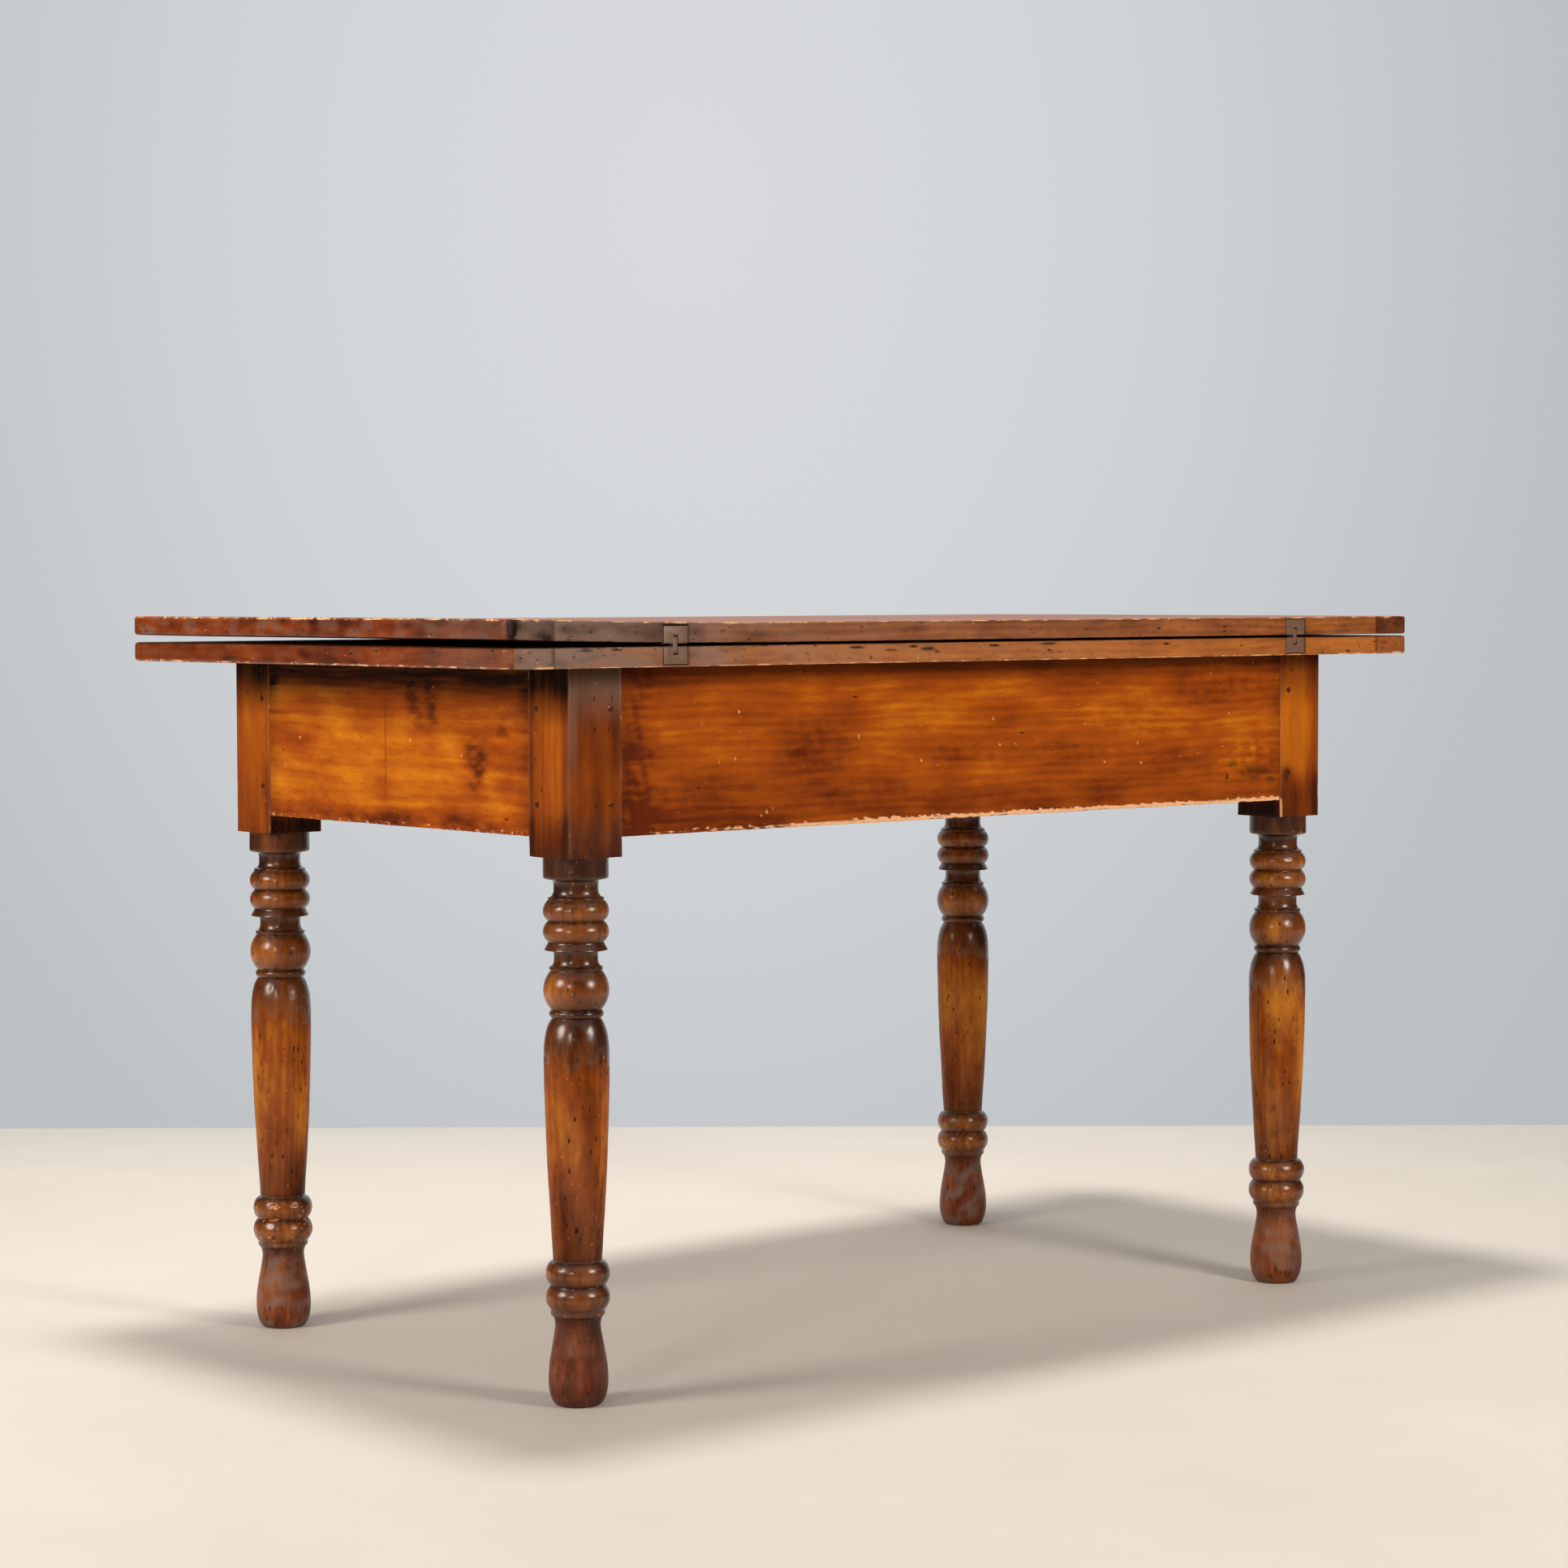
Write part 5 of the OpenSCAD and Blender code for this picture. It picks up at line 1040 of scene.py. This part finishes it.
def leaf_end(leaf, place_name, side, seed):
    """An end board of a leaf: rings of its rounded plan, from a spine along its middle out
    over one face, round the edge and back over the other face to the spine."""
    joint = BOARDS_LEFT if side < 0 else BOARDS_RIGHT
    width = LEAF_HALF_LENGTH - abs(joint)
    half = LEAF_HALF_WIDTH
    straight = half - CORNER_RADIUS
    run = np.linspace(-straight, straight, END_POINTS)
    turn = np.linspace(0, np.pi / 2, 12)[1:-1]
    tip = np.linspace(0.15, width - CORNER_RADIUS, 9)
    corner = np.array([np.cos(turn), np.sin(turn)]).T
    arc = np.array([width - CORNER_RADIUS, straight]) + CORNER_RADIUS * corner
    outline = np.concatenate([
        np.stack([np.full(len(run), width), run], 1), arc,
        np.stack([tip[::-1], np.full(len(tip), half)], 1),
        np.stack([np.zeros(len(run)), run[::-1]], 1),
        np.stack([tip, np.full(len(tip), -half)], 1), arc[::-1] * (1, -1)])
    inward = np.concatenate([
        np.tile((-1.0, 0.0), (len(run), 1)), -corner, np.tile((0.0, -1.0), (len(tip), 1)),
        np.tile((1.0, 0.0), (len(run), 1)), np.tile((0.0, 1.0), (len(tip), 1)),
        -corner[::-1] * (1, -1)])
    at_joint = outline[:, 0] < 0.1
    long_edge = fade(np.abs(outline[:, 1]) - straight, CORNER_RADIUS * 0.65, CORNER_RADIUS)
    play_ease, outer_ease = (
        np.where(at_joint, SEAM_EASE, at_end + (at_side - at_end) * long_edge)
        for at_end, at_side in ((END_PLAY_EASE, PLAY_EASE), (END_EASE, OUTER_EASE)))
    spine = np.stack([np.full(len(outline), width / 2),
                      np.clip(outline[:, 1], -half + width / 2, half - width / 2)], 1)
    # Rings of the play face, its arris, the side, the outer arris and the outer face
    shares = np.array([1, 0.75, 0.45, 0.2, 0.06, 0.02])[:, None, None]
    bend = np.linspace(0, np.pi / 2, 6)[:, None]
    side_shares = np.linspace(0.2, 0.8, 5)[:, None]
    play_rim = outline + inward * play_ease[:, None]
    outer_rim = outline + inward * outer_ease[:, None]
    plan = np.concatenate([
        play_rim + (spine - play_rim) * shares,
        outline + inward * (play_ease * (1 - np.sin(bend)))[..., None],
        outline + 0 * side_shares[..., None],
        outline + inward * (outer_ease * (1 - np.cos(bend)))[..., None],
        outer_rim + (spine - outer_rim) * shares[::-1]])
    flat = np.zeros((len(shares), len(outline)))
    depth = np.concatenate([
        flat, play_ease * (1 - np.cos(bend)), LEAF_THICKNESS * side_shares + 0 * flat[0],
        LEAF_THICKNESS - outer_ease * (1 - np.sin(bend)), LEAF_THICKNESS + flat])
    skin = to_leaf(joint + side * plan[..., 0], plan[..., 1], depth, leaf == "upper")
    wear = np.repeat((0, 1, 0, 1, 0), (6, 6, 5, 6, 6))[:, None] * ~at_joint
    leaf_piece(leaf, f"{leaf}_{place_name}_end", "_board", skin, wear, 0.6,
               ("end_wood", end_wood), "y", 0.0, seed)


for leaf, seed in (("lower", 500), ("upper", 700)):
    leaf_board(leaf, "front", 0, 0.05, seed)
    leaf_board(leaf, "middle", 1, -0.15, seed + 20)
    leaf_board(leaf, "back", 2, 0.1, seed + 40)
    leaf_end(leaf, "left", -1, seed + 80)
    leaf_end(leaf, "right", 1, seed + 120)


# Pieces that keep the CAD shape, with their arrises eased

def eased(node, body, finish, along, ease, seed=0, marks=None):
    """A copy of a CAD node with its doubles merged and its sharp edges rounded."""
    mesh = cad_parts[node].data.copy()
    mesh.materials.clear()
    for label in [a.name for a in mesh.attributes if a.name.startswith("_")]:
        mesh.attributes.remove(mesh.attributes[label])
    shape = bmesh.new()
    shape.from_mesh(mesh)
    bmesh.ops.remove_doubles(shape, verts=shape.verts, dist=WELD)
    bmesh.ops.dissolve_limit(shape, angle_limit=np.radians(1), verts=shape.verts,
                             edges=shape.edges)
    edges = [e for e in shape.edges if e.is_manifold and e.calc_face_angle(0) > 0.6]
    bmesh.ops.bevel(shape, geom=edges, offset=ease * MM, segments=2, profile=0.6,
                    affect="EDGES", clamp_overlap=True)
    shape.to_mesh(mesh)
    shape.free()
    dress(node + "_eased", mesh, body, finish, along, node, marks, seed, sharp=30)


def dusty(points):
    """Light dirt and dust in soft patches."""
    patch = ripple(points, 70, 41)
    return 0.3 * patch, 0.12 + 0.1 * patch, 0.0, 0.2 - 0.1 * patch


# Poplar: node, body, direction of the grain, ease in millimetres and seed
for node, body, along, ease, seed in (
        ("pivot_rail", "frame", "y", 0.8, 1), ("front_ledger", "frame", "x", 0.7, 2),
        ("back_ledger", "frame", "x", 0.7, 2),
        *((f"well_board_{n}", "frame", "y", 0.5, 10 + n) for n in range(1, 6)),
        ("stop_block", "lower_leaf", "x", 0.8, 3)):
    eased(node, body, ("inner_wood", inner_wood), along, ease, seed, dusty)
for leaf, (part, ease) in product(("lower", "upper"), (
        ("left_hinge_plate", 0.35), ("right_hinge_plate", 0.35), ("hinge_pins", 0.3))):
    eased(f"{leaf}_{part}", leaf + "_leaf", ("hinge_iron", hinge_iron), "x", ease)
for node in ("left_hinge_link", "right_hinge_link"):
    eased(node, "hinge_links", ("hinge_iron", hinge_iron), "x", 0.6)
for node in ("pivot_plate", "pivot_nut", "pivot_washer", "pivot_stud"):
    eased(node, "lower_leaf", ("pivot_iron", pivot_iron), "x", 0.4)

# Screws and nails keep the CAD shape and get their iron
for node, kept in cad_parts.items():
    if node.endswith(("_nails", "_screws")):
        kept.data.materials.clear()
        kept.data.materials.append(nail_iron if node.endswith("_nails") else screw_iron)


# Studio

def hold(name, data, place, side, up, back):
    """Puts a camera or lamp at a place in millimetres, turned by its three axes."""
    holder = show(name, data)
    pose = np.eye(4)
    pose[:3] = np.stack([side, up, back, place * MM], 1)
    holder.matrix_world = Matrix(pose.tolist())
    return holder


# Camera fitted to the photo: place, heading in plan, tilt down, roll and lens
CAMERA_PLACE = np.array([-2770.8, -3244.9, 808.1])
CAMERA_HEADING = np.array([0.6475, 0.7621])
CAMERA_TILT, CAMERA_ROLL = np.radians(2.93), np.radians(-0.14)
PHOTO_PIXELS, FOCAL_PIXELS, SENSOR = 1932, 4662.67, 36.0
WALL_LINE_PIXEL = 1388

ahead = np.append(CAMERA_HEADING / np.linalg.norm(CAMERA_HEADING), 0.0)
right = np.array([ahead[1], -ahead[0], 0.0])
forward = ahead * np.cos(CAMERA_TILT) - np.array([0, 0, np.sin(CAMERA_TILT)])
above = np.cross(right, forward)
lens = bpy.data.cameras.new("camera")
lens.sensor_width = SENSOR
lens.lens = FOCAL_PIXELS * SENSOR / PHOTO_PIXELS
bpy.context.scene.camera = hold(
    "camera", lens, CAMERA_PLACE, right * np.cos(CAMERA_ROLL) + above * np.sin(CAMERA_ROLL),
    above * np.cos(CAMERA_ROLL) - right * np.sin(CAMERA_ROLL), -forward)

# The wall stands where the photo shows its foot
wall_angle = CAMERA_TILT + np.arctan((WALL_LINE_PIXEL - PHOTO_PIXELS / 2) / FOCAL_PIXELS)
wall_foot = CAMERA_PLACE * (1, 1, 0) + ahead * CAMERA_PLACE[2] / np.tan(wall_angle)


def backdrop(name, foot, rise, finish):
    """Scenery between a line of points and the same line moved by rise, in millimetres."""
    count = len(foot)
    index = np.arange(count - 1)[:, None]
    mesh = bpy.data.meshes.new(name)
    mesh.from_pydata((np.concatenate([foot, foot + rise]) * MM).tolist(), [],
                     (index + [0, 1, count + 1, count]).tolist())
    mesh.materials.append(finish)
    scenery = show(name, mesh)
    return scenery


# Sealed plaster floor: warm pale beige with faint clouds, painted darker towards the camera and
# at the foot of the wall, as painted shade, so that it is palest in the middle of the room
floor_finish, tree = new_finish("sealed_plaster_floor")
FLOOR_NEAR, FLOOR_FAR = -1.05, 1.41
place = add(tree, "TexCoord", out="Object")
depth = add(tree, "VectorMath", {0: place, 1: tuple(ahead)}, "Value",
            operation="DOT_PRODUCT")
depth = add(tree, "MapRange", {"Value": depth, "From Min": FLOOR_NEAR,
                               "From Max": FLOOR_FAR})
# Painted shade: the colour darkens towards the camera and towards the wall
colour = add(tree, "ValToRGB", {"Fac": depth}, stops=(
    (0.0, linear("#C5BDB4")), (0.25, linear("#CCC4BC")), (0.54, linear("#DBD3CA")),
    (0.80, linear("#E5DCD1")), (0.92, linear("#E4DBD3")), (1.0, linear("#DEDAD0"))))
clouds = add(tree, "TexNoise", {"Vector": place, "Scale": 2.2, "Detail": 7.0,
                                "Roughness": 0.65})
clouds = add(tree, "MapRange", {"Value": clouds, "From Min": 0.35, "From Max": 0.65,
                                "To Max": 0.35})
colour = add(tree, "Mix", {0: clouds, FIRST: colour, SECOND: linear("#D6CDC2")}, MIXED,
             data_type="RGBA")
shader = add(tree, "BsdfPrincipled", {"Base Color": colour, "Roughness": 0.75, "IOR": 1.3})
add(tree, "OutputMaterial", {"Surface": shader})

# Wall: pale blue-grey that glows with its own light, with a painted pool of light, and
# see-through from behind
glowing_wall_finish, tree = new_finish("glowing_wall")
WALL_GLOW, WALL_GLOW_HEIGHT, WALL_GLOW_REACH, WALL_GLOW_SQUASH = -140, 1385, 1900, 0.75
glow_centre = wall_foot + right * WALL_GLOW + np.array([0, 0, WALL_GLOW_HEIGHT])
place = add(tree, "TexCoord", out="Object")
offset = add(tree, "VectorMath", {0: place, 1: tuple(glow_centre * MM)},
             operation="SUBTRACT")
offset = add(tree, "VectorMath", {0: offset, 1: (1, 1, WALL_GLOW_SQUASH)},
             operation="MULTIPLY")
offset = add(tree, "VectorMath", {0: offset}, "Value", operation="LENGTH")
share = add(tree, "Math", {0: offset, 1: 1 / (WALL_GLOW_REACH * MM)},
            operation="MULTIPLY")
colour = add(tree, "ValToRGB", {"Fac": share},
             stops=((0.0, linear("#D7D9DC")), (0.24, linear("#D4D7D9")),
                    (0.47, linear("#CBCED1")), (0.66, linear("#BFC3C5")),
                    (1.0, linear("#B7BBBD"))))
lit = add(tree, "Emission", {"Color": colour, "Strength": 1.0})
clear = add(tree, "BsdfTransparent")
behind = add(tree, "NewGeometry", out="Backfacing")
shader = add(tree, "MixShader", {0: behind, 1: lit, 2: clear})
add(tree, "OutputMaterial", {"Surface": shader})

FLOOR_HALF, FLOOR_Z, WALL_HALF, WALL_HEIGHT = 14000, -0.2, 7000, 6000
backdrop("floor", np.array([(-FLOOR_HALF, -FLOOR_HALF, FLOOR_Z),
                            (FLOOR_HALF, -FLOOR_HALF, FLOOR_Z)]),
         (0, 2 * FLOOR_HALF, 0), floor_finish)
backdrop("wall", wall_foot + np.outer((-WALL_HALF, WALL_HALF), right), (0, 0, WALL_HEIGHT),
         glowing_wall_finish)


def lamp(name, place, target, diameter, level, colour):
    """A round soft lamp that faces the target. level is the share of full light, pi watts a
    square metre, that it gives at the target."""
    back = np.subtract(place, target, dtype=float)
    distance = np.linalg.norm(back)
    back /= distance
    light = bpy.data.lights.new(name, "AREA")
    light.shape = "DISK"
    light.size = diameter * MM
    light.energy = level * np.pi ** 2 * (distance * MM) ** 2
    light.color = linear(colour)[:3]
    side = np.cross((0, 0, 1) if abs(back[2]) < 0.99 else (0, 1, 0), back)
    side /= np.linalg.norm(side)
    holder = hold(name, light, np.array(place), side, np.cross(back, side), back)
    holder.visible_camera = False


# The lamps stand where the photo's shadows and highlights point
lamp("ceiling_lamp", (-285, 260, 4530), (-285, 260, 0), 700, 0.62, "#FFFBF4")
lamp("left_lamp", (-2870, 240, 1500), (-545, 0, 640), 1000, 0.78, "#FFF8EE")
lamp("front_lamp", (380, -2740, 1500), (0, -300, 640), 820, 0.68, "#FFF8EE")
lamp("middle_lamp", (-2730, -1420, 1150), (-512, -268, 414), 360, 0.16, "#FFF8EE")

# Painted dark reflection: a dark glowing sheet round the room up to the lit part of the wall,
# which only gloss shows, darkening the reflections in the finish
curtain_finish, tree = new_finish("dark_curtain")
shade = add(tree, "Emission", {"Color": linear("#3A3430"), "Strength": 1.0})
add(tree, "OutputMaterial", {"Surface": shade})
CURTAIN_RADIUS, CURTAIN_HEIGHT, CURTAIN_GAP, CURTAIN_CLEARANCE = 6500, 5200, 2900, 60
bearing = np.radians(np.linspace(128, 331, 41))
foot = np.stack([CURTAIN_RADIUS * np.cos(bearing), CURTAIN_RADIUS * np.sin(bearing),
                 np.zeros(len(bearing))], 1)
wall_ends = wall_foot - ahead * CURTAIN_CLEARANCE + np.outer((-0.5, 0.5), right * CURTAIN_GAP)
foot = np.concatenate([wall_ends[:1], foot, wall_ends[1:]])
curtain = backdrop("curtain", foot, (0, 0, CURTAIN_HEIGHT), curtain_finish)
curtain.visible_camera = curtain.visible_diffuse = curtain.visible_shadow = False
curtain.visible_transmission = False

# Soft light from all sides, and a brighter air that only the camera and reflections see
world = bpy.data.worlds.new("studio_air")
world.use_nodes = True
tree = world.node_tree
tree.nodes.clear()
rays = add(tree, "LightPath", out=None)
seen = add(tree, "Math", {0: rays["Is Camera Ray"], 1: rays["Is Glossy Ray"]},
           operation="MAXIMUM")
seen = add(tree, "Math", {0: seen, 1: rays["Is Transmission Ray"]}, operation="MAXIMUM")
air = add(tree, "Background", {"Color": linear("#EEF1F4"), "Strength": 0.17})
far_air = add(tree, "Background", {"Color": linear("#C6CACC"), "Strength": 1.0})
shader = add(tree, "MixShader", {0: seen, 1: air, 2: far_air})
add(tree, "OutputWorld", {"Surface": shader})
bpy.context.scene.world = world
bpy.context.scene.view_settings.view_transform = "Standard"
